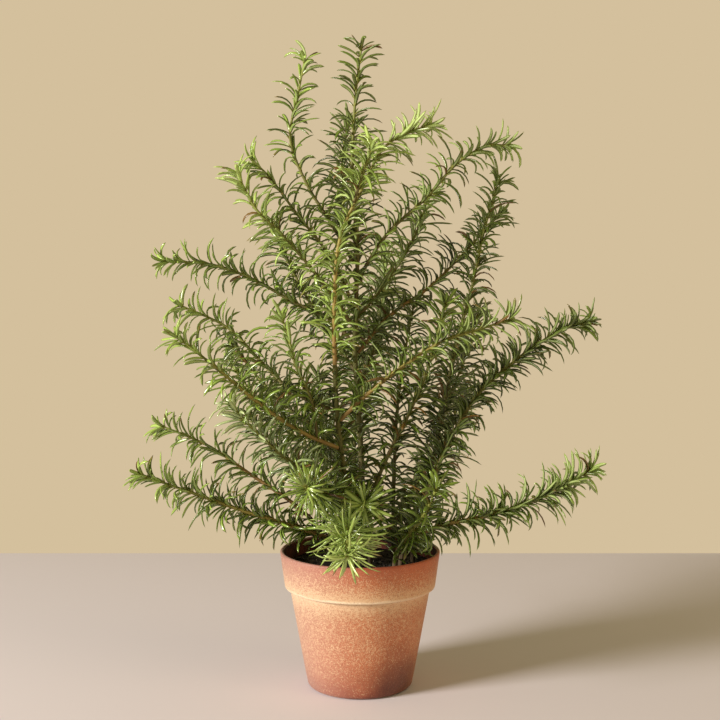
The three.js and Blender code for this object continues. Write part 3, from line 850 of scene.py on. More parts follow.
class Shading:
    """Places and joins the nodes of one material or node group.

    A value for an input is a number, a colour or the output of another node.
    """

    def __init__(self, tree: bpy.types.NodeTree) -> None:
        """Works in this node tree."""
        self.tree = tree

    def feed(
        self, node: bpy.types.Node, values: dict[str | int, Any]
    ) -> bpy.types.Node:
        """Gives a node's inputs their values.

        Args:
            node: The node.
            values: The value of each input.

        Returns:
            The node.
        """
        for name, value in values.items():
            if isinstance(value, bpy.types.NodeSocket):
                self.tree.links.new(value, node.inputs[name])
            else:
                node.inputs[name].default_value = value
        return node

    def put(
        self, kind: str, values: dict[str | int, Any] | None = None, **settings: Any
    ) -> bpy.types.Node:
        """Adds a node.

        Args:
            kind: The node's type.
            values: The value of each input.
            **settings: The node's own settings by name.

        Returns:
            The node.
        """
        node = self.tree.nodes.new(kind)
        for name, value in settings.items():
            setattr(node, name, value)
        return self.feed(node, values or {})

    def maths(self, operation: str, *values: Any) -> Any:
        """Adds a sum on numbers and gives its result."""
        inputs = dict(enumerate(values))
        return self.put("ShaderNodeMath", inputs, operation=operation).outputs[0]

    def times(self, first: Any, second: Any) -> Any:
        """Multiplies two numbers."""
        return self.maths("MULTIPLY", first, second)

    def plus(self, first: Any, second: Any, weight: float) -> Any:
        """Adds a weighted number to another."""
        return self.maths("ADD", first, self.times(second, weight))

    def mix(self, share: Any, first: Any, second: Any, most: float = 1.0) -> Any:
        """Mixes two colours.

        Args:
            share: How much of the second one there is.
            first: One colour.
            second: The other one.
            most: What the share is multiplied with.

        Returns:
            The mixed colour.
        """
        factor = share if most == 1.0 else self.times(share, most)
        inputs = {0: factor, 6: first, 7: second}
        return self.put("ShaderNodeMix", inputs, data_type="RGBA").outputs[2]

    def ramp(self, value: Any, stops: Sequence[tuple[float, Colour]]) -> Any:
        """Lays colours over a number from 0 to 1.

        Args:
            value: The number.
            stops: Places from 0 to 1, and the colour of each.

        Returns:
            The colour.
        """
        node = self.put("ShaderNodeValToRGB", {"Fac": value})
        band = node.color_ramp
        while len(band.elements) < len(stops):
            band.elements.new(0.5)
        for element, (place, colour) in zip(band.elements, stops, strict=True):
            element.position = place
            element.color = colour
        return node.outputs["Color"]

    def curve(self, value: Any, stops: Sequence[tuple[float, float]]) -> Any:
        """Bends a number from 0 to 1 along the straight stretches between stops."""
        greys = self.ramp(value, [(place, (at, at, at, 1.0)) for place, at in stops])
        return self.put("ShaderNodeSeparateColor", {"Color": greys}).outputs[0]

    def spread(
        self, value: Any, low: Any, high: Any, first: float = 0, last: float = 1
    ) -> Any:
        """Maps a range of numbers to another one, softly at both ends.

        Args:
            value: The number.
            low: What becomes the first number.
            high: What becomes the last one.
            first: The first number.
            last: The last number.

        Returns:
            The new number.
        """
        inputs = {"Value": value, "From Min": low, "From Max": high, "To Min": first,
                  "To Max": last}
        kind = "ShaderNodeMapRange"
        return self.put(kind, inputs, interpolation_type="SMOOTHSTEP").outputs["Result"]

    def noise(
        self, where: Any, scale: Any, detail: float = 2, rough: float = 0.5
    ) -> Any:
        """Reads a noise at a place and gives its value, from 0 to 1."""
        inputs = {"Vector": where, "Scale": scale, "Detail": detail, "Roughness": rough}
        return self.put("ShaderNodeTexNoise", inputs).outputs["Fac"]

    def centred(self, value: Any) -> Any:
        """Moves a number from 0 to 1 so that it lies about zero."""
        return self.maths("SUBTRACT", value, 0.5)

    def place(self) -> Any:
        """Gives the surface's own place in metres."""
        return self.put("ShaderNodeTexCoord").outputs["Object"]

    def attribute(self, name: str) -> Any:
        """Gives a number that the mesh carries."""
        settings = {"attribute_name": name, "attribute_type": "GEOMETRY"}
        return self.put("ShaderNodeAttribute", **settings).outputs["Fac"]

    def bump(self, height: Any, strength: float, distance: float) -> Any:
        """Turns a height into a normal."""
        inputs = {"Height": height, "Strength": strength, "Distance": distance}
        return self.put("ShaderNodeBump", inputs).outputs["Normal"]


def new_group(
    name: str, inputs: dict[str, tuple[str, Any]], outputs: dict[str, str]
) -> tuple[Shading, dict[str, Any], bpy.types.Node]:
    """Starts a node group with named inputs and outputs.

    Args:
        name: The group's name.
        inputs: Kind and first value of each input.
        outputs: Kind of each output.

    Returns:
        The group's shading, its inputs by name, and its output node.
    """
    tree = bpy.data.node_groups.new(name, "ShaderNodeTree")
    for label, (kind, value) in inputs.items():
        socket = tree.interface.new_socket(
            name=label, in_out="INPUT", socket_type=f"NodeSocket{kind}")
        if value is not None:
            socket.default_value = value
    for label, kind in outputs.items():
        tree.interface.new_socket(
            name=label, in_out="OUTPUT", socket_type=f"NodeSocket{kind}")
    start = tree.nodes.new("NodeGroupInput")
    end = tree.nodes.new("NodeGroupOutput")
    return Shading(tree), {s.name: s for s in start.outputs if s.name}, end


class Effects:
    """The node groups that several finishes use."""

    _made: dict[str, bpy.types.NodeTree] = {}

    @classmethod
    def place(cls, shading: Shading, name: str, **values: Any) -> bpy.types.NodeOutputs:
        """Places a group in a material with its own values.

        Args:
            shading: The material's shading.
            name: Which group.
            **values: The value of each input.

        Returns:
            The group's outputs.
        """
        if name not in cls._made:
            cls._made[name] = getattr(cls, f"_{name}")()
        tree = cls._made[name]
        return shading.put("ShaderNodeGroup", values, node_tree=tree).outputs

    @staticmethod
    def _stipple() -> bpy.types.NodeTree:
        """Makes grains of a second colour, more of them where Cover is higher.

        Returns:
            The group.
        """
        group, given, end = new_group(
            "stipple",
            {"Place": ("Vector", None), "Grain": ("Float", 700.0),
             "Cover": ("Float", 0.3), "Softness": ("Float", 0.2)},
            {"Mask": "Float", "Height": "Float"},
        )
        fine = group.noise(given["Place"], given["Grain"], 3, 0.6)
        coarse = group.noise(given["Place"], group.times(given["Grain"], 0.31))
        grains = group.plus(group.times(fine, 0.76), coarse, 0.24)
        evened = group.spread(grains, 0.3, 0.7)
        bar = group.maths("SUBTRACT", 1.0, given["Cover"])
        low, high = (
            group.maths(way, bar, given["Softness"]) for way in ("SUBTRACT", "ADD"))
        group.feed(end, {"Mask": group.spread(evened, low, high), "Height": evened})
        return group.tree

    @staticmethod
    def _long_grain() -> bpy.types.NodeTree:
        """Makes streaks that run up a stem, and the height of their ridges.

        Returns:
            The group.
        """
        group, given, end = new_group(
            "long_grain",
            {"Place": ("Vector", None), "Grain": ("Float", 900.0),
             "Stretch": ("Float", 0.12)},
            {"Streak": "Float", "Height": "Float"},
        )
        size = group.put("ShaderNodeCombineXYZ", {0: 1.0, 1: 1.0, 2: given["Stretch"]})
        where = group.put(
            "ShaderNodeVectorMath", {0: given["Place"], 1: size.outputs[0]},
            operation="MULTIPLY")
        streak = group.noise(where.outputs[0], given["Grain"], 3, 0.6)
        flaky = group.noise(given["Place"], group.times(given["Grain"], 0.4))
        group.feed(end, {"Streak": group.spread(streak, 0.35, 0.65),
                         "Height": group.plus(streak, flaky, 0.6)})
        return group.tree

    @staticmethod
    def _needle_colour() -> bpy.types.NodeTree:
        """Colours a needle by its age: rib, underside, root and tip. The rib's pale line
        is partly the needle's own and partly a painted highlight.

        Returns:
            The group.
        """
        colours = ("Deep", "Middle", "Young", "Underside", "Root", "Dry")
        group, given, end = new_group(
            "needle_colour",
            {name: ("Color", (0.1, 0.1, 0.1, 1.0)) for name in colours},
            {"Colour": "Color", "Roughness": "Float"},
        )
        tint, age, upper, rib, along = (
            group.attribute(f"needle_{mark}")
            for mark in ("tint", "age", "upper", "rib", "along"))
        patchy = group.noise(group.place(), 60.0)
        varied = group.plus(group.times(tint, 0.75), patchy, 0.25)
        youth = group.spread(group.plus(age, group.centred(tint), 0.3), 0.5, 1.35)
        under = group.maths("SUBTRACT", 1.0, upper)
        old_tip = group.times(
            group.spread(along, 0.55, 1.0), group.spread(tint, 0.3, 0.05))
        layers = (
            (group.spread(varied, 0.1, 0.9), "Middle"),
            (youth, "Young"),
            # The rib's paler line: partly the midrib's own colour, partly a painted
            # highlight along each needle.
            (group.spread(rib, 0.3, 1.0, 0.0, 0.8), "Young"),
            (group.spread(under, 0.45, 1.0), "Underside"),
            (group.spread(along, 0.2, 0.0), "Root"),
            (group.maths("ADD", old_tip, group.spread(tint, 0.02, 0.01)), "Dry"),
        )
        green = given["Deep"]
        for share, name in layers:
            green = group.mix(share, green, given[name])
        rough = group.spread(under, 0.4, 1.0, 0.25, 0.6)
        group.feed(end, {"Colour": green, "Roughness": rough})
        return group.tree


class Finish:
    """How a surface looks. Each kind says what its shader's inputs get."""

    label = "finish"

    def looks(self, shading: Shading) -> dict[str, Any]:
        """Works out the values of the shader's inputs.

        Args:
            shading: The material's shading.

        Returns:
            The value of each input.
        """
        raise NotImplementedError

    @cache
    def material(self) -> bpy.types.Material:
        """Makes the material at its first use, and then gives the same one.

        Returns:
            The material.
        """
        made = bpy.data.materials.new(self.label)
        made.use_nodes = True
        shading = Shading(made.node_tree)
        shader = made.node_tree.nodes["Principled BSDF"]
        shading.feed(shader, self.looks(shading))
        return made


@dataclass(frozen=True)
class TerracottaFinish(Finish):
    """Matt fired clay, stippled and washed with a pale lime that fades down the pot.
    Painted light pales its lit left side and turns its shaded right side a brighter
    orange, and a patch low on the front right is darker.

    The three tables go from the foot, 0, to the lip, 1: how freely the colours drift, how
    much lime there is, and the colour of the clay. That colour darkens towards the foot,
    and its bright ring at the band's lower edge is partly lime wash and partly a painted
    highlight.
    """

    lime: Colour = paint(232, 206, 168)
    dust: Colour = paint(138, 74, 46)
    # Painted light: a pale veil that stands in for the key light on the left side.
    painted_lit_side: Colour = paint(172, 144, 136)
    # Painted light: the brighter orange of bounce light on the shaded right side.
    warm: Colour = paint(198, 98, 38)
    # A darker colour for a patch low on the front right, by the foot.
    dark_patch_colour: Colour = paint(82, 33, 10)
    dark_patch_place: Point = (0.034, -0.03, 0.004)
    top: float = 108.5

    label = "banded_terracotta"
    FREE = ((0.6, 1.0), (0.7, 0.25), (0.76, 0.25), (0.8, 1.0), (0.93, 1.0), (0.98, 0.0))
    COVER = ((0.0, 0.14), (0.3, 0.32), (0.6, 0.42), (0.72, 0.7), (0.76, 0.7),
             (0.84, 0.42), (0.94, 0.2), (0.985, 0.05))
    # The bright ring from 0.722 to 0.755, at the band's lower edge, is partly lime wash
    # and partly a painted highlight over the edge's shade. The clay darkens towards the
    # foot.
    FIRED = (
        (0.0, (134, 60, 36)), (0.05, (148, 72, 44)), (0.12, (168, 94, 60)),
        (0.3, (185, 108, 68)), (0.56, (188, 114, 72)), (0.64, (189, 127, 85)),
        (0.7, (195, 145, 106)), (0.722, (216, 178, 144)), (0.731, (241, 221, 194)),
        (0.747, (247, 231, 206)), (0.755, (200, 148, 106)), (0.8, (188, 124, 80)),
        (0.87, (184, 108, 66)), (0.975, (178, 92, 56)), (0.993, (150, 64, 40)),
    )

    def looks(self, shading: Shading) -> dict[str, Any]:
        """Works out the values of the shader's inputs.

        Args:
            shading: The material's shading.

        Returns:
            The value of each input.
        """
        place = shading.place()
        across, _, height = shading.put("ShaderNodeSeparateXYZ", {0: place}).outputs
        share = shading.maths("DIVIDE", height, self.top * MM)
        drift = shading.centred(shading.noise(place, 38.0, 3))
        free = shading.times(drift, shading.curve(share, self.FREE))
        stops = [(at, paint(*tone)) for at, tone in self.FIRED]
        fired = shading.ramp(shading.plus(share, free, 0.14), stops)
        dark_patch = self._dark_patch(shading, place, drift)
        cover = shading.plus(shading.curve(share, self.COVER), drift, 0.3)
        cover = shading.plus(cover, dark_patch, -0.25)
        grains = Effects.place(
            shading, "stipple", Place=place, Grain=1500.0, Cover=cover, Softness=0.2)
        shade = Effects.place(
            shading, "stipple", Place=place, Grain=1650.0, Cover=0.4, Softness=0.2)
        # Painted light: the left side, which faces the key light, is paled as if lit.
        left = shading.spread(across, 0.012, -0.056, 0.0, 0.6)
        # Painted light: the shaded right side turns a brighter orange, as if lit by bounce
        # light.
        right = shading.spread(across, 0.0, 0.06, 0.0, 0.6)
        colour = shading.mix(left, fired, self.painted_lit_side)
        colour = shading.mix(right, colour, self.warm)
        colour = shading.mix(dark_patch, colour, self.dark_patch_colour)
        colour = shading.mix(shade["Mask"], colour, self.dust, 0.5)
        relief = shading.plus(grains["Height"], shade["Height"], 0.5)
        return {
            "Base Color": shading.mix(grains["Mask"], colour, self.lime, 0.55),
            "Roughness": shading.spread(grains["Mask"], 0.0, 1.0, 0.52, 0.76),
            "Specular IOR Level": 0.6,
            "Sheen Weight": 0.12,
            "Sheen Roughness": 0.5,
            "Normal": shading.bump(relief, 0.35, 0.0003),
        }

    def _dark_patch(self, shading: Shading, place: Any, drift: Any) -> Any:
        """Marks a darker patch low on the front right, by the foot.

        Args:
            shading: The material's shading.
            place: The surface's own place.
            drift: A slow noise that breaks the patch's edge.

        Returns:
            How dark each place is made.
        """
        ends = {0: place, 1: self.dark_patch_place}
        apart = shading.put("ShaderNodeVectorMath", ends, operation="DISTANCE")
        uneven = shading.plus(apart.outputs["Value"], drift, 0.03)
        return shading.spread(uneven, 0.044, 0.01, 0.0, 0.92)


@dataclass(frozen=True)
class DampClayFinish(Finish):
    """The inside of the pot, dark from damp soil."""

    wall: Colour = paint(126, 56, 40)
    dark_patch: Colour = paint(58, 28, 22)
    grain: Colour = paint(150, 86, 62)

    label = "damp_clay"

    def looks(self, shading: Shading) -> dict[str, Any]:
        """Works out the values of the shader's inputs.

        Args:
            shading: The material's shading.

        Returns:
            The value of each input.
        """
        place = shading.place()
        stains = shading.spread(shading.noise(place, 90.0, 4, 0.6), 0.35, 0.65)
        grains = Effects.place(
            shading, "stipple", Place=place, Grain=800.0, Cover=0.25, Softness=0.25)
        colour = shading.mix(stains, self.dark_patch, self.wall)
        return {
            "Base Color": shading.mix(grains["Mask"], colour, self.grain, 0.3),
            "Roughness": 0.7,
            "Normal": shading.bump(grains["Height"], 0.4, 0.0003),
        }


@dataclass(frozen=True)
class SoilFinish(Finish):
    """Damp, nearly black potting soil with brown fibres in it."""

    peat: Colour = paint(22, 16, 11)
    crumb: Colour = paint(48, 35, 23)

    label = "potting_soil"

    def looks(self, shading: Shading) -> dict[str, Any]:
        """Works out the values of the shader's inputs.

        Args:
            shading: The material's shading.

        Returns:
            The value of each input.
        """
        place = shading.place()
        grains = Effects.place(
            shading, "stipple", Place=place, Grain=500.0, Cover=0.35, Softness=0.2)
        damp = shading.noise(place, 160.0)
        return {
            "Base Color": shading.mix(grains["Mask"], self.peat, self.crumb),
            "Roughness": shading.spread(damp, 0.4, 0.6, 0.55, 0.95),
            "Normal": shading.bump(grains["Height"], 0.8, 0.0008),
        }


@dataclass(frozen=True)
class GritFinish(Finish):
    """Pale mineral grit among the soil."""

    dark: Colour = paint(120, 104, 84)
    light: Colour = paint(206, 194, 172)

    label = "mineral_grit"

    def looks(self, shading: Shading) -> dict[str, Any]:
        """Works out the values of the shader's inputs.

        Args:
            shading: The material's shading.

        Returns:
            The value of each input.
        """
        veined = shading.spread(shading.noise(shading.place(), 700.0, 3), 0.35, 0.65)
        return {
            "Base Color": shading.mix(veined, self.dark, self.light),
            "Roughness": 0.6,
            "Normal": shading.bump(veined, 0.4, 0.0003),
        }


@dataclass(frozen=True)
class BarkFinish(Finish):
    """Thin bark: grey brown and flaky low down, olive where it turns to green shoot."""

    old: Colour = paint(58, 45, 31)
    pale: Colour = paint(102, 84, 60)
    olive: Colour = paint(98, 97, 50)

    label = "thin_bark"

    def looks(self, shading: Shading) -> dict[str, Any]:
        """Works out the values of the shader's inputs.

        Args:
            shading: The material's shading.

        Returns:
            The value of each input.
        """
        grain = Effects.place(
            shading, "long_grain", Place=shading.place(), Grain=900.0, Stretch=0.14)
        colour = shading.mix(grain["Streak"], self.old, self.pale)
        reach = shading.spread(shading.attribute("shoot_age"), 0.1, 0.6)
        return {
            "Base Color": shading.mix(reach, colour, self.olive),
            "Roughness": 0.82,
            "Normal": shading.bump(grain["Height"], 0.6, 0.0004),
        }


@dataclass(frozen=True)
class ShootFinish(Finish):
    """The skin of a leafy shoot, from its woody foot to its green tip."""

    core: Core
    groove: Colour = paint(84, 70, 38)

    FOOT = {
        Core.GREEN: paint(102, 88, 46),
        Core.OCHRE: paint(152, 121, 66),
        Core.BROWN: paint(140, 106, 62),
    }
    MIDDLE = {
        Core.GREEN: paint(112, 114, 50),
        Core.OCHRE: paint(158, 142, 68),
        Core.BROWN: paint(156, 122, 66),
    }
    UPPER = ((0.85, paint(130, 138, 60)), (1.0, paint(140, 152, 70)))

    @property
    def label(self) -> str:
        """Names the material."""
        return f"shoot_skin_{self.core.value}"

    def looks(self, shading: Shading) -> dict[str, Any]:
        """Works out the values of the shader's inputs.

        Args:
            shading: The material's shading.

        Returns:
            The value of each input.
        """
        place = shading.place()
        patchy = shading.centred(shading.noise(place, 45.0))
        uneven = shading.plus(shading.attribute("shoot_age"), patchy, 0.5)
        foot, middle = self.FOOT[self.core], self.MIDDLE[self.core]
        colour = shading.ramp(uneven, [(0.0, foot), (0.5, middle), *self.UPPER])
        grain = Effects.place(
            shading, "long_grain", Place=place, Grain=1400.0, Stretch=0.4)
        return {
            "Base Color": shading.mix(grain["Streak"], colour, self.groove, 0.25),
            "Roughness": 0.6,
            "Normal": shading.bump(grain["Height"], 0.3, 0.0002),
        }


@dataclass(frozen=True)
class NeedleFinish(Finish):
    """Waxy needles: green above with a paler rib that is partly a painted highlight, pale
    and matt beneath.

    The greens of a tone are the deep, the middle, the young one and the underside.
    """

    tone: Tone
    root: Colour = paint(150, 148, 70)
    dry: Colour = paint(112, 84, 36)

    GREENS = {
        Tone.DEEP: ((30, 44, 3), (80, 101, 24), (116, 138, 54), (132, 146, 84)),
        Tone.LIVELY: ((45, 64, 7), (109, 137, 39), (170, 196, 100), (166, 182, 116)),
        Tone.SPRING: ((48, 66, 12), (97, 122, 35), (150, 173, 82), (148, 163, 96)),
        Tone.FRESH: ((95, 118, 42), (151, 175, 84), (188, 210, 120), (178, 197, 122)),
        Tone.SILVER: ((78, 95, 54), (138, 158, 104), (196, 210, 152), (186, 201, 150)),
    }

    @property
    def label(self) -> str:
        """Names the material."""
        return f"needle_{self.tone.value}"

    def looks(self, shading: Shading) -> dict[str, Any]:
        """Works out the values of the shader's inputs.

        Args:
            shading: The material's shading.

        Returns:
            The value of each input.
        """
        deep, middle, young, under = (paint(*tone) for tone in self.GREENS[self.tone])
        colours = Effects.place(
            shading, "needle_colour", Deep=deep, Middle=middle, Young=young,
            Underside=under, Root=self.root, Dry=self.dry)
        return {
            "Base Color": colours["Colour"],
            "Roughness": colours["Roughness"],
            "Specular IOR Level": 0.8,
        }


@dataclass(frozen=True)
class FloorFinish(Finish):
    """A plain pale floor."""

    tone: Colour = paint(216, 210, 220)
    shade: Colour = paint(209, 202, 210)

    label = "plain_floor"

    def looks(self, shading: Shading) -> dict[str, Any]:
        """Works out the values of the shader's inputs.

        Args:
            shading: The material's shading.

        Returns:
            The value of each input.
        """
        faint = shading.noise(shading.place(), 3.0)
        return {
            "Base Color": shading.mix(faint, self.tone, self.shade, 0.1),
            "Roughness": 0.9,
            "Specular IOR Level": 0.2,
        }


def dress(piece: bpy.types.Object, *finishes: Finish) -> None:
    """Gives a piece the materials of these finishes, one a slot."""
    for finish in finishes:
        piece.data.materials.append(finish.material())


# ---- The pot and its soil ----


def shares(count: int) -> list[float]:
    """Gives the steps of an even climb to 1, the first one above 0."""
    return [i / count for i in range(1, count + 1)]


@dataclass
class ClayPot:
    """The tapered pot with its rim band. Sizes in millimetres.

    The corners say how far their rings lie out and up from the body's top, and in and
    up from the floor's edge. INWARD and LEVEL tell the faces of the inside by their
    normals.
    """

    height: float = 108.5
    rim_radius: float = 63.5
    lip_roundness: float = 1.3
    lip_width: float = 2.6
    band_foot_radius: float = 59.9
    band_foot_height: float = 80.5
    band_overlap: float = 1.2
    body_top_radius: float = 56.0
    foot_radius: float = 42.2
    foot_roundness: float = 3.6
    wall: float = 3.0
    floor: float = 6.0
    floor_radius: float = 39.4
    sides: int = 128
    drain_radius: float = 4.5
    drain_circle: float = 22.0
    drain_count: int = 4
    drain_sides: int = 32

    FOOT_BULGE = 0.94
    BAND_CORNER = (0.9, 0.08)
    BAND_EDGE = ((-1.4, 0.12), (-0.75, 0.3), (-0.3, 0.65), (-0.05, 1.15), (0.05, 1.8))
    INNER_HEIGHTS = (107.2, 101, 95, 89.5, 84.5, 82, 79.5, 77.5, 70, 50, 30, 12, 8)
    FLOOR_CORNER = ((0.4, 0.6), (1.6, 0))
    INWARD = -1e-4
    LEVEL = 0.9
    LIP_DEPTH = 1.6
    DRILL_PAST = 2

    def inner_radius(self, height: float) -> float:
        """Gives the pot's inner radius at a height.

        Args:
            height: Millimetres above the ground.

        Returns:
            The radius there.
        """
        ledge = self.band_foot_height
        heights = [self.floor, ledge - 3, ledge + 4, self.height - self.lip_roundness]
        radii = [self.floor_radius, self.body_top_radius - self.wall,
                 self.band_foot_radius - self.wall, self.rim_radius - self.lip_width]
        return float(np.interp(height, heights, radii))

    def rings(self) -> list[tuple[float, float]]:
        """Lists the rings from the foot's underside over the lip to the floor.

        Returns:
            Radius and height of each ring.
        """
        foot, rounding = self.foot_radius, self.foot_roundness
        rings = [(foot - rounding, 0.0)]
        for share in shares(5):
            turn = share * math.pi / 2
            wider = rounding * math.sin(turn) * self.FOOT_BULGE
            rings.append((foot - rounding + wider, rounding * (1 - math.cos(turn))))
        top = self.band_foot_height - self.band_overlap
        rings += [
            (blend(foot, self.body_top_radius, share), blend(rounding, top, share))
            for share in shares(12)
        ]
        wider, up = self.BAND_CORNER
        rings.append((self.body_top_radius + wider, top + up))
        band = self.band_foot_radius
        rings += [(band + wider, top + up) for wider, up in self.BAND_EDGE]
        band, start = rings[-1]
        lip = self.height - self.lip_roundness
        rings += [(blend(band, self.rim_radius, share), blend(start, lip, share))
                  for share in shares(8)]
        half = self.lip_width / 2
        for share in shares(10)[:-1]:
            turn = share * math.pi
            rings.append((self.rim_radius - half + half * math.cos(turn),
                          lip + self.lip_roundness * math.sin(turn)))
        rings += [(self.inner_radius(height), height) for height in self.INNER_HEIGHTS]
        inner = self.inner_radius(self.floor)
        return rings + [(inner - by, self.floor + up) for by, up in self.FLOOR_CORNER]

    def build(self) -> bpy.types.Object:
        """Models the pot, drills its drain holes and dresses it.

        Returns:
            The pot.
        """
        pot = turned_solid("clay_pot", self.rings(), self.sides)
        drains = []
        for i in range(self.drain_count):
            turn = (i + 0.5) / self.drain_count * math.tau
            x = math.cos(turn) * self.drain_circle
            y = math.sin(turn) * self.drain_circle
            drains.append(Hole(x, y, self.drain_radius, -self.DRILL_PAST,
                               self.floor + self.DRILL_PAST))
        pierce(pot, drains, self.drain_sides)
        dress(pot, TerracottaFinish(), DampClayFinish())
        with in_edit_mode(pot):
            pick_faces(pot, self._is_inside)
            pot.active_material_index = 1
            bpy.ops.object.material_slot_assign()
        smooth(pot, 40)
        return pot

    def _is_inside(self, face: bmesh.types.BMFace) -> bool:
        """Says whether a face belongs to the inside, below the lip.

        Args:
            face: A face of the pot.

        Returns:
            Whether it does.
        """
        middle, normal = face.calc_center_median(), face.normal
        inward = normal.x * middle.x + normal.y * middle.y < self.INWARD
        below_lip = middle.z < (self.height - self.LIP_DEPTH) * MM
        on_floor = normal.z > self.LEVEL and middle.z < (self.floor + 2) * MM
        return below_lip and ((inward and middle.z > self.floor * MM) or on_floor)


@dataclass
class PottingSoil:
    """The soil that fills the pot, crumbly on top. Sizes in millimetres.

    CLODS has the size and height of the coarse and the fine clods in metres. A crumb's
    size is drawn between two numbers and raised to a power.
    """

    pot: ClayPot
    height: float = 96.5
    crown: float = 1.6
    seat_gap: float = 0.3
    hole_depth: float = 25.0
    sides: int = 96
    hole_sides: int = 16
    crumbs: int = 620
    grit: int = 46
    stem_room: float = 3.4
    rim_room: float = 2.4

    SLACK = 1.2
    FOOT_CORNER = 1.6
    BODY_HEIGHTS = (30, 60, 77.6, 84.6, 94)
    EDGE = ((0, 0.8), (0.6, 0.2))
    LEAST_RING = 0.6
    CLODS = ((0.011, 0.0034), (0.0035, 0.0017))
    GRIT_SIZES = (0.45, 0.95, 1.0)
    CRUMB_SIZES = (0.5, 1.7, 1.3)
    CRUMB_LIFT = (-0.1, 0.7)
    CRUMB_WIDTHS = (0.55, 0.95)
    CRUMB_HEIGHTS = (0.45, 0.8)
    CRUMB_DENTS = 0.16

    def build(self) -> bpy.types.Object:
        """Models the soil with its stem holes, its crumbs and grit, and dresses it.

        Returns:
            The soil.
        """
        soil = self._body()
        bottom = self.height - self.hole_depth - self.seat_gap
        pierce(soil, [
            Hole(*stem.points[0][:2], stem.radii[0] + self.seat_gap, bottom,
                 self.pot.height)
            for stem in ROOTED
        ], self.hole_sides)
        self._roughen(soil)
        dress(soil, SoilFinish())
        smooth(soil, 50)
        loose = [self._crumb(i) for i in range(self.crumbs)]
        return joined([soil, *loose], "crumbly_soil")

    def _body(self) -> bpy.types.Object:
        """Makes the filling from the pot's floor up, with fine rings on top.

        Returns:
            The filling, without its holes.
        """
        gap = self.seat_gap * self.SLACK
        low = self.pot.floor + self.seat_gap
        rings = [(self.pot.inner_radius(low) - gap - self.FOOT_CORNER, low)]
        rings += [(self.pot.inner_radius(h) - gap, h) for h in self.BODY_HEIGHTS]
        edge = self.pot.inner_radius(self.height) - gap
        rings += [(edge - by, self.height - down) for by, down in self.EDGE]
        for climbed in shares(31)[:-1]:
            share = 1 - climbed
            radius = max((edge - self.EDGE[-1][0]) * share, self.LEAST_RING)
            rings.append((radius, self.height + self.crown * (1 - share**2)))
        return turned_solid("soil_body", rings, self.sides)

    def _roughen(self, soil: bpy.types.Object) -> None:
        """Raises and sinks the top surface in clods, and leaves the rest.

        Args:
            soil: The filling.
        """
        places = points_of(soil) / MM
        reach = np.hypot(places[:, 0], places[:, 1])
        edge = self.pot.inner_radius(self.height) - 2
        free = (places[:, 2] > self.height - 0.3) & (reach < edge)
        group = soil.vertex_groups.new(name="surface")
        group.add(np.flatnonzero(free).tolist(), 1.0, "REPLACE")
        for size, strength in self.CLODS:
            displace(soil, size, strength=strength, mid_level=0.5,
                     vertex_group="surface", direction="Z")

    def _crumb(self, number: int) -> bpy.types.Object:
        """Lays one crumb or bit of grit on the soil, clear of the stems.

        Args:
            number: Which one. The first ones are grit.

        Returns:
            The crumb.
        """
        draw = np.random.default_rng(CRUMB_SEED + number)
        pale = number < self.grit
        low, high, power = self.GRIT_SIZES if pale else self.CRUMB_SIZES
        size = draw.uniform(low, high) ** power
        edge = self.pot.inner_radius(self.height) - self.rim_room
        near = 0.0
        while near <= self.stem_room + size:
            reach = edge * math.sqrt(draw.uniform(0, 1))
            turn = draw.uniform(0, math.tau)
            x, y = reach * math.cos(turn), reach * math.sin(turn)
            near = min(math.dist((x, y), stem.points[0][:2]) for stem in ROOTED)
        lift = self.height + self.crown * (1 - (reach / edge) ** 2)
        lift += draw.uniform(*self.CRUMB_LIFT)
        crumb = new_primitive(
            "ico_sphere", subdivisions=1, radius=size * MM,
            location=(x * MM, y * MM, lift * MM),
            scale=(1.0, draw.uniform(*self.CRUMB_WIDTHS),
                   draw.uniform(*self.CRUMB_HEIGHTS)),
            rotation=(0, 0, draw.uniform(0, math.tau)))
        keep_transform()
        dents = self.CRUMB_DENTS * size * MM
        uneven = draw.normal(0, dents, (len(crumb.data.vertices), 3))
        moved = points_of(crumb) + uneven
        crumb.data.vertices.foreach_set("co", moved.astype(np.float32).ravel())
        dress(crumb, GritFinish() if pale else SoilFinish())
        return crumb


# ---- Stems, shoots and needles ----


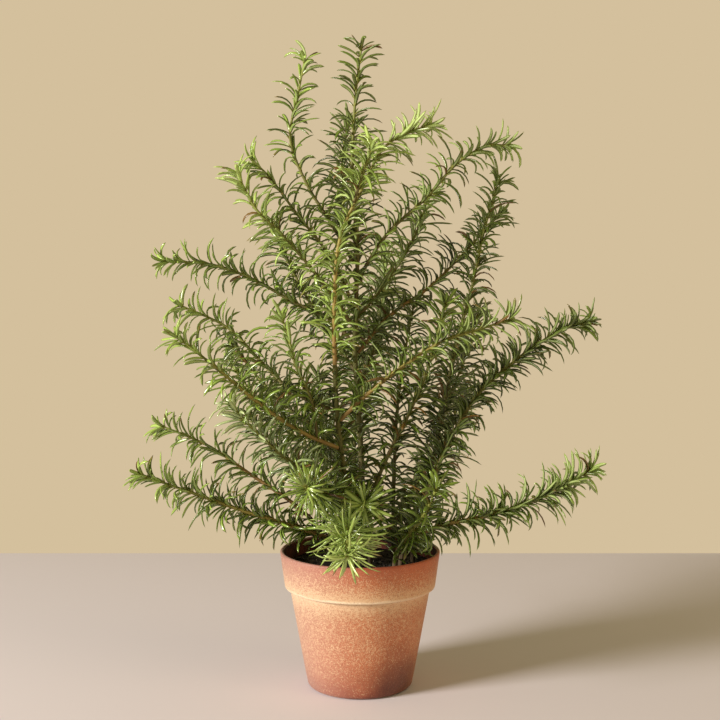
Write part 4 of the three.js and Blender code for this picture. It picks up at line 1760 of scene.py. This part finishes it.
@dataclass
class WoodyStem:
    """The bark part of one rooted stem. Sizes in millimetres."""

    plan: StemPlan
    foot_height: float = 71.8
    foot_step: float = 3.0
    ring_step: float = 1.6
    knot_step: float = 11.0
    roundness: int = 4
    relief_size: float = 2.8
    relief: float = 0.5

    KNOT_SHIFT = 1.7
    KNOT_POWER = 8
    WAIST = 0.93
    SWELLING = 0.12
    NECK = 0.96
    NECK_LENGTH = 4

    def build(self) -> bpy.types.Object:
        """Draws the stem up from its hole, thickens its knots and dresses it.

        Returns:
            The stem.
        """
        plan = self.plan
        route = Route(plan.points)
        x, y, surface = plan.points[0]
        foot = np.arange(self.foot_height, surface - self.foot_step / 2, self.foot_step)
        count = max(6, round(plan.bark_end / self.ring_step))
        reached = np.linspace(0, plan.bark_end, count + 1)
        line = [(x, y, z) for z in foot] + [route.at(along).point for along in reached]
        radii = [plan.radii[0]] * len(foot) + [self._radius_at(far) for far in reached]
        stem = drawn_tube(f"woody_{plan.name}", np.array(line), radii, self.roundness)
        displace(stem, self.relief_size * MM, strength=self.relief * MM, mid_level=0.55)
        points = points_of(stem)
        share = np.clip(route.nearest(points / MM) / plan.bark_end, 0, 1)
        below = points[:, 2] < surface * MM
        set_attribute(stem, "shoot_age", np.where(below, 0.0, share))
        dress(stem, BarkFinish())
        return stem

    def _radius_at(self, along: float) -> float:
        """Gives the stem's radius at a place, with a slight swelling at each knot.

        Args:
            along: Millimetres along the stem's route.

        Returns:
            The radius there.
        """
        even = blend(*self.plan.radii, along / self.plan.bark_end)
        shifted = along + len(self.plan.name) * self.KNOT_SHIFT
        knot = max(0.0, math.cos(shifted / self.knot_step * math.tau))
        neck = 1 if along > self.NECK_LENGTH else self.NECK
        return even * (self.WAIST + self.SWELLING * knot**self.KNOT_POWER) * neck


class MasterNeedle:
    """One needle, modelled by hand along +Z: one long, one wide at its widest.

    STATIONS are its width and height from foot to tip. SECTION is its outline across,
    from one edge over the groove to the other edge and the underside.
    """

    STATIONS = ((0.56, 0.0), (0.8, 0.1), (1.0, 0.28), (1.04, 0.48), (1.0, 0.68),
                (0.84, 0.86))
    SECTION = ((0.5, 0.0), (0.27, 0.5), (0.0, 0.3), (-0.27, 0.5), (-0.5, 0.0),
               (0.0, -0.42))
    THICKNESS = 0.46

    def __init__(self) -> None:
        """Models the needle and keeps its points, faces and marks."""
        piece = self._model()
        self.points = points_of(piece)
        self.faces = [tuple(face.vertices) for face in piece.data.polygons]
        across, up = self.points[:, 0], self.points[:, 1]
        self.upper = np.select([up > 0.001, up < -0.001], [1.0, 0.0], 0.6)
        self.rib = np.where((np.abs(across) < 0.05) & (up > 0.001), 1.0, 0.0)
        bpy.data.objects.remove(piece)

    def _model(self) -> bpy.types.Object:
        """Shapes a six-sided disc to the needle's section and draws it out.

        Returns:
            The needle.
        """
        piece = new_primitive(
            "circle", vertices=6, radius=0.5, fill_type="NGON", location=(0, 0, 0))
        width, last = self.STATIONS[0][0], self.STATIONS[-1][1]
        with in_edit_mode(piece):
            bpy.ops.mesh.select_all(action="SELECT")
            bpy.ops.transform.rotate(
                value=math.pi / 2, orient_axis="Z", center_override=(0, 0, 0))
            self._press_section(piece)
            resize(width, 0)
            draw_up(self.STATIONS, 1)
            bpy.ops.mesh.extrude_region_move(
                TRANSFORM_OT_translate={"value": (0, 0, 1 - last)})
            bpy.ops.mesh.merge(type="CENTER")
            face_outward()
        return piece

    def _press_section(self, piece: bpy.types.Object) -> None:
        """Presses the round section flat, with a groove along its upper side.

        Args:
            piece: The disc, in edit mode.
        """
        shape = bmesh.from_edit_mesh(piece.data)
        order = sorted(shape.verts, key=lambda v: math.atan2(v.co.y, v.co.x) % math.tau)
        for vertex, (x, y) in zip(order, self.SECTION, strict=True):
            vertex.co = Vector((x, y * self.THICKNESS, 0))
        bmesh.update_edit_mesh(piece.data)


@dataclass
class NeedleCoat:
    """Copies the master needle along a batch of needles and bends each copy.

    Sizes are in millimetres. The first constants say how much the copies differ.
    SHORTER has the shares of its length that a needle is tried with to fit the box, and
    the last four say how far needles stay from the pot and the soil.
    """

    master: MasterNeedle
    box: tuple[np.ndarray, np.ndarray]
    width: float = 2.65
    soil_top: float = 98.1
    pot_top: float = 108.5
    rim_radius: float = 63.5
    inner_radius: float = 56.9

    TINTS = (0.5, 0.24)
    WIDTHS = (0.82, 1.14)
    FULL_LENGTH = 16
    LEAST_WIDTH = 0.62
    TWIST = 0.38
    SWAY = 0.11
    STRETCH = 1.05
    SINK = 0.6
    SINK_LEAN = 0.2
    SINK_LEAST = 0.3
    SHORTER = (0.95, 0.88, 0.8, 0.7, 0.6)
    RIM_ROOM = 0.8
    LIP_ROOM = 0.4
    INNER_ROOM = 0.5
    SOIL_ROOM = 1.2

    def shapes(self, batch: NeedleBatch, seed: int) -> tuple[np.ndarray, np.ndarray]:
        """Bends a copy of the master for each needle.

        Args:
            batch: The needles.
            seed: What the small differences are drawn from.

        Returns:
            The points in millimetres, a row of points a needle, and each needle's tint.
        """
        draw = np.random.default_rng(seed)
        count = len(batch)
        tint = np.clip(draw.normal(*self.TINTS, count), 0, 1)
        width = self.width * draw.uniform(*self.WIDTHS, count)
        width *= np.clip(batch.length / self.FULL_LENGTH, self.LEAST_WIDTH, 1.0)
        twist = draw.normal(0, self.TWIST, (2, count))
        sway = draw.normal(0, self.SWAY, count)
        length = batch.length * self.STRETCH
        start = batch.lean - batch.bend / 2
        rate = 2 * batch.bend / length
        steepness = np.maximum(np.sin(start + self.SINK_LEAN), self.SINK_LEAST)
        skip = self.SINK * batch.core / steepness
        across = np.cross(batch.forward, batch.out)[:, None, :]
        forward, out = batch.forward[:, None, :], batch.out[:, None, :]

        share = self.master.points[:, 2][None, :]
        reached = skip[:, None] + share * (length - skip)[:, None]
        angle = start[:, None] + rate[:, None] * reached
        forward_part = (np.sin(angle) - np.sin(start)[:, None]) / rate[:, None]
        out_part = (np.cos(start)[:, None] - np.cos(angle)) / rate[:, None]
        swing = (sway * length)[:, None] * share**2
        centre = batch.place[:, None, :] + forward * forward_part[..., None]
        centre = centre + out * out_part[..., None] + across * swing[..., None]
        upward = forward * np.sin(angle)[..., None] - out * np.cos(angle)[..., None]
        turn = (twist[0][:, None] + twist[1][:, None] * share)[..., None]
        sideways = across * np.cos(turn) + upward * np.sin(turn)
        upward = upward * np.cos(turn) - across * np.sin(turn)
        wide = width[:, None, None]
        points = centre + sideways * self.master.points[:, 0][None, :, None] * wide
        points = points + upward * self.master.points[:, 1][None, :, None] * wide
        return points, tint

    def fit(self, batch: NeedleBatch, seed: int) -> np.ndarray:
        """Shortens needles that reach past the solids' box.

        Args:
            batch: The needles. Their lengths are changed.
            seed: What the small differences are drawn from.

        Returns:
            A mask of the needles that fit then, and are clear of the pot.
        """
        scale = np.ones(len(batch))
        whole = batch.length.copy()
        for shorter in self.SHORTER:
            batch.length = whole * scale
            past = self._outside(self.shapes(batch, seed)[0])
            scale = np.where(past, shorter, scale)
        batch.length = whole * scale
        points = self.shapes(batch, seed)[0]
        return ~self._outside(points) & self._clear_of_pot(points)

    def _outside(self, points: np.ndarray) -> np.ndarray:
        """Says of each needle whether a point of it lies outside the solids' box."""
        low, high = self.box
        return ((points < low) | (points > high)).any(axis=(1, 2))

    def _clear_of_pot(self, points: np.ndarray) -> np.ndarray:
        """Finds needles that touch neither the pot's wall nor the soil.

        Args:
            points: A row of points a needle.

        Returns:
            Whether each needle is clear of both.
        """
        reach = np.hypot(points[..., 0], points[..., 1])
        height = points[..., 2]
        beside = reach > self.rim_radius + self.RIM_ROOM
        over = height > self.pot_top + self.LIP_ROOM
        above_soil = height > self.soil_top + self.SOIL_ROOM
        within = above_soil & (reach < self.inner_radius - self.INNER_ROOM)
        return (beside | over | within).all(axis=1)

    def build(self, name: str, batch: NeedleBatch, seed: int) -> bpy.types.Object:
        """Makes one mesh of all the needles.

        Args:
            name: The piece's name.
            batch: The needles.
            seed: What the small differences are drawn from.

        Returns:
            The needles, with the marks that their material reads.
        """
        fits = self.fit(batch, seed)
        points, tint = self.shapes(batch, seed)
        points = points[fits]
        if not fits.all():
            log.info("%s: %d needles left out", name, (~fits).sum())
        count, size = points.shape[:2]
        faces = [
            tuple(index + copy * size for index in face)
            for copy in range(count)
            for face in self.master.faces
        ]
        mesh = bpy.data.meshes.new(name)
        mesh.from_pydata((points.reshape(-1, 3) * MM).tolist(), [], faces)
        piece = bpy.data.objects.new(name, mesh)
        bpy.context.scene.collection.objects.link(piece)
        marks = {
            "tint": np.repeat(tint[fits], size),
            "age": np.repeat(batch.age[fits], size),
            "upper": np.tile(self.master.upper, count),
            "rib": np.tile(self.master.rib, count),
            "along": np.tile(self.master.points[:, 2], count),
        }
        for label, values in marks.items():
            set_attribute(piece, f"needle_{label}", values)
        take(piece)
        bpy.ops.object.shade_smooth()
        return piece


@dataclass
class LeafySpray:
    """One shoot with its needles. Sizes in millimetres.

    start is where the shoot starts along the plan's points, and leaves_from where its
    needles do. PAST_BARK and PAST_START have how far past the bark's end, or the plan's
    own start, these two lie.
    """

    coat: NeedleCoat
    plan: StemPlan | SidePlan
    start: float
    leaves_from: float
    radius: float
    seed: int
    rule: NeedleRule = NeedleRule()
    tip_radius: float = 0.8
    ring_step: float = 2.8
    roundness: int = 2

    PAST_BARK = (0.05, 2)
    PAST_START = (-0.6, 7)
    TAPER = 1.2
    SWELLINGS = (0.92, 1.04)
    END_RADIUS = 0.3
    STAR = NeedleRule(whorl_needles=6, old_lean=1.05, tip_lean=0.66, tip_bend=0.6,
                      scatter=0.9)
    STAR_WIDTH = 0.7
    TUFT = NeedleRule(length=15.5, whorl_step=1.7, whorl_needles=3, whorl_turn=1.1,
                      old_lean=0.85, tip_lean=0.42, old_bend=0.7, tip_bend=0.5)
    TUFT_SPAN = 3.4
    TUFT_END = 0.4

    @classmethod
    def on_stem(cls, coat: NeedleCoat, plan: StemPlan, seed: int) -> "LeafySpray":
        """Plans the spray that a woody stem ends in.

        Args:
            coat: What lays the needles.
            plan: The stem.
            seed: What the spray's needles are drawn from.

        Returns:
            The spray.
        """
        shoot, leaves = (plan.bark_end + past for past in cls.PAST_BARK)
        return cls(coat, plan, shoot, leaves, plan.radii[1] * WoodyStem.WAIST, seed)

    @classmethod
    def at_side(cls, coat: NeedleCoat, plan: SidePlan, seed: int) -> "LeafySpray":
        """Plans a spray that leaves its carrier at the side.

        Args:
            coat: What lays the needles.
            plan: The spray's plan.
            seed: What the spray's needles are drawn from.

        Returns:
            The spray.
        """
        shoot, leaves = (plan.start + past for past in cls.PAST_START)
        spray = cls(coat, plan, shoot, leaves, plan.radius, seed)
        if plan.star:
            spray.rule = replace(cls.STAR, length=plan.star)
            spray.coat = replace(coat, width=coat.width * cls.STAR_WIDTH)
        return spray

    def build(self) -> bpy.types.Object:
        """Draws the shoot, coats it with needles and dresses both.

        Returns:
            The spray.
        """
        name, seed = self.plan.name, self.seed
        route = Route(self.plan.points)
        shoot = self._shoot(route)
        dress(shoot, ShootFinish(self.plan.core))
        needles = self.rule.along(
            route, self.leaves_from, route.length, self.radius, seed)
        needles = needles.varied(seed).filled(seed, self.plan.fullness)
        leaves = self.coat.build(
            f"needles_{name}", needles.with_more(self._tuft(route)), seed)
        dress(leaves, NeedleFinish(self.plan.tone))
        return joined([shoot, leaves], f"leafy_{name}")

    def _shoot(self, route: Route) -> bpy.types.Object:
        """Draws the shoot with a slight swelling under each whorl.

        Args:
            route: The line of the shoot.

        Returns:
            The shoot.
        """
        span = route.length - self.start
        count = max(8, round(span / self.ring_step) * 2)
        reached = np.linspace(self.start, route.length, count + 1)
        radii = []
        for i, along in enumerate(reached):
            share = (along - self.start) / span
            even = blend(self.radius, self.tip_radius, share**self.TAPER)
            radii.append(even * self.SWELLINGS[i % 2])
        radii[-1] = self.END_RADIUS
        line = np.array([route.at(along).point for along in reached])
        shoot = drawn_tube(f"shoot_{self.plan.name}", line, radii, self.roundness)
        age = (route.nearest(points_of(shoot) / MM) - self.start) / span
        set_attribute(shoot, "shoot_age", np.clip(age, 0, 1))
        return shoot

    def _tuft(self, route: Route) -> NeedleBatch:
        """Places the short young needles that close round the shoot's tip.

        Args:
            route: The line of the shoot.

        Returns:
            The needles.
        """
        seed = self.seed + TUFT_SEED_STEP
        last = route.length - self.TUFT_END
        tuft = self.TUFT.along(
            route, last - self.TUFT_SPAN, last, self.tip_radius, seed)
        tuft.age = np.ones(len(tuft))
        return tuft.varied(seed)


@dataclass
class SparseNeedles:
    """The few old needles that stay on the bark of a tall stem."""

    coat: NeedleCoat
    plan: StemPlan
    seed: int

    RULE = NeedleRule(length=19, whorl_step=5.4, whorl_needles=3, whorl_turn=1.45,
                      old_lean=0.95, tip_lean=0.9, old_bend=0.7, tip_bend=0.7)
    FULLNESS = 1.3
    AGE = 0.3

    def build(self) -> bpy.types.Object:
        """Places and dresses the needles.

        Returns:
            The needles.
        """
        plan, seed = self.plan, self.seed
        needles = self.RULE.along(Route(plan.points), plan.sparse, plan.bark_end - 1,
                                  sum(plan.radii) / 2, seed)
        needles = needles.varied(seed).filled(seed, self.FULLNESS)
        needles.age = needles.age * self.AGE
        piece = self.coat.build(f"sparse_{plan.name}", needles, seed)
        dress(piece, NeedleFinish(Tone.DEEP))
        return piece


# ---- The studio ----


@dataclass
class Lamp:
    """A square soft light. Its size is in metres, its power in watts."""

    name: str
    place: Point
    size: float
    power: float
    tint: tuple[float, float, float]
    spread: float = 180.0

    def hang(self, aim: Point) -> None:
        """Hangs the light so that it points at a place.

        Args:
            aim: The place.
        """
        lamp = bpy.data.lights.new(self.name, "AREA")
        lamp.size = self.size
        lamp.energy = self.power
        lamp.color = self.tint
        lamp.spread = math.radians(self.spread)
        holder = bpy.data.objects.new(self.name, lamp)
        holder.location = self.place
        toward = Vector(aim) - Vector(self.place)
        holder.rotation_euler = toward.to_track_quat("-Z", "Y").to_euler()
        bpy.context.scene.collection.objects.link(holder)


@dataclass
class Studio:
    """A pale floor, soft light from the left, and the camera. Sizes in metres."""

    camera_place: Point = (0.0, -0.950, 0.326)
    camera_drop: float = 4.0
    lens: float = 60.4
    lit_place: Point = (0.0, 0.0, 0.2)
    floor_place: Point = (0.0, -1.047, -0.0002)
    floor_size: Point = (6.0, 3.0, 1.0)
    wall: Colour = paint(212, 192, 157)
    sky: Colour = (1.0, 0.83, 0.42, 1.0)
    sky_strength: float = 0.34

    LAMPS = (
        Lamp("key_light", (-2.25, -1.29, 1.04), 0.75, 49.0, (1.0, 0.93, 0.83), 120.0),
        Lamp("fill_light", (1.5, -0.9, 0.7), 0.8, 7.0, (1.0, 0.76, 0.46)),
    )

    def build(self) -> None:
        """Sets up the floor, the light and the camera."""
        self._floor()
        self._world()
        for lamp in self.LAMPS:
            lamp.hang(self.lit_place)
        self._camera()
        view = bpy.context.scene.view_settings
        view.view_transform = "Standard"
        view.look = "None"

    def _floor(self) -> None:
        """Lays the floor, which ends a little way behind the plant."""
        floor = new_primitive("plane", size=1, location=self.floor_place)
        floor.name = "studio_floor"
        floor.scale = self.floor_size
        keep_transform()
        dress(floor, FloorFinish())
        floor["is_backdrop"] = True

    def _world(self) -> None:
        """Shows a plain warm wall colour behind and lights softly from all sides."""
        world = bpy.data.worlds.new("studio")
        world.use_nodes = True
        tree = world.node_tree
        shading = Shading(tree)
        seen = shading.feed(tree.nodes["Background"], {"Color": self.wall})
        soft = shading.put(
            "ShaderNodeBackground", {"Color": self.sky, "Strength": self.sky_strength})
        to_camera = shading.put("ShaderNodeLightPath").outputs["Is Camera Ray"]
        both = shading.put("ShaderNodeMixShader", {
            0: to_camera, 1: soft.outputs[0], 2: seen.outputs[0]})
        shading.feed(tree.nodes["World Output"], {"Surface": both.outputs[0]})
        bpy.context.scene.world = world

    def _camera(self) -> None:
        """Sets the camera at the photo's angle."""
        eye = bpy.data.cameras.new("camera")
        eye.lens = self.lens
        eye.sensor_width = 36.0
        holder = bpy.data.objects.new("camera", eye)
        holder.location = self.camera_place
        holder.rotation_euler = (math.radians(90 - self.camera_drop), 0, 0)
        bpy.context.scene.collection.objects.link(holder)
        bpy.context.scene.camera = holder


# ---- The whole plant ----


def settle(piece: bpy.types.Object, slot: str, *nodes: str) -> None:
    """Lets a piece ride on the part, in the place of its solids, which it hides.

    Args:
        piece: The finished piece.
        slot: Not used.
        *nodes: The solids that it stands for.
    """
    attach(piece, "root")
    if nodes:
        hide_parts(*nodes)
    log.info("%s: %d faces", piece.name, len(piece.data.polygons))


def build_plant(coat: NeedleCoat) -> None:
    """Builds the stems, the sprays and the sparse needles.

    Args:
        coat: What lays the needles.
    """
    for i, plan in enumerate(ROOTED):
        settle(WoodyStem(plan).build(), "bark", f"stem_{plan.name}")
        settle(SparseNeedles(coat, plan, SPARSE_SEED + i).build(), "foliage")
    for i, plan in enumerate([*ROOTED, *SIDE]):
        rooted = isinstance(plan, StemPlan)
        make = LeafySpray.on_stem if rooted else LeafySpray.at_side
        slot = "fresh_foliage" if plan.tone in (Tone.SPRING, Tone.FRESH) else "foliage"
        settle(make(coat, plan, SEED + i).build(), slot, f"spray_{plan.name}")


def main() -> None:
    """Builds every piece in order."""
    logging.basicConfig(level=logging.INFO, format="%(message)s")
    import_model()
    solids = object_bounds()
    pot = ClayPot()
    settle(pot.build(), "terracotta", "pot")
    settle(PottingSoil(pot).build(), "soil", "soil")
    box = (np.array(solids[0]) / MM, np.array(solids[1]) / MM)
    build_plant(NeedleCoat(MasterNeedle(), box))
    Studio().build()


if __name__ == "__main__":
    main()
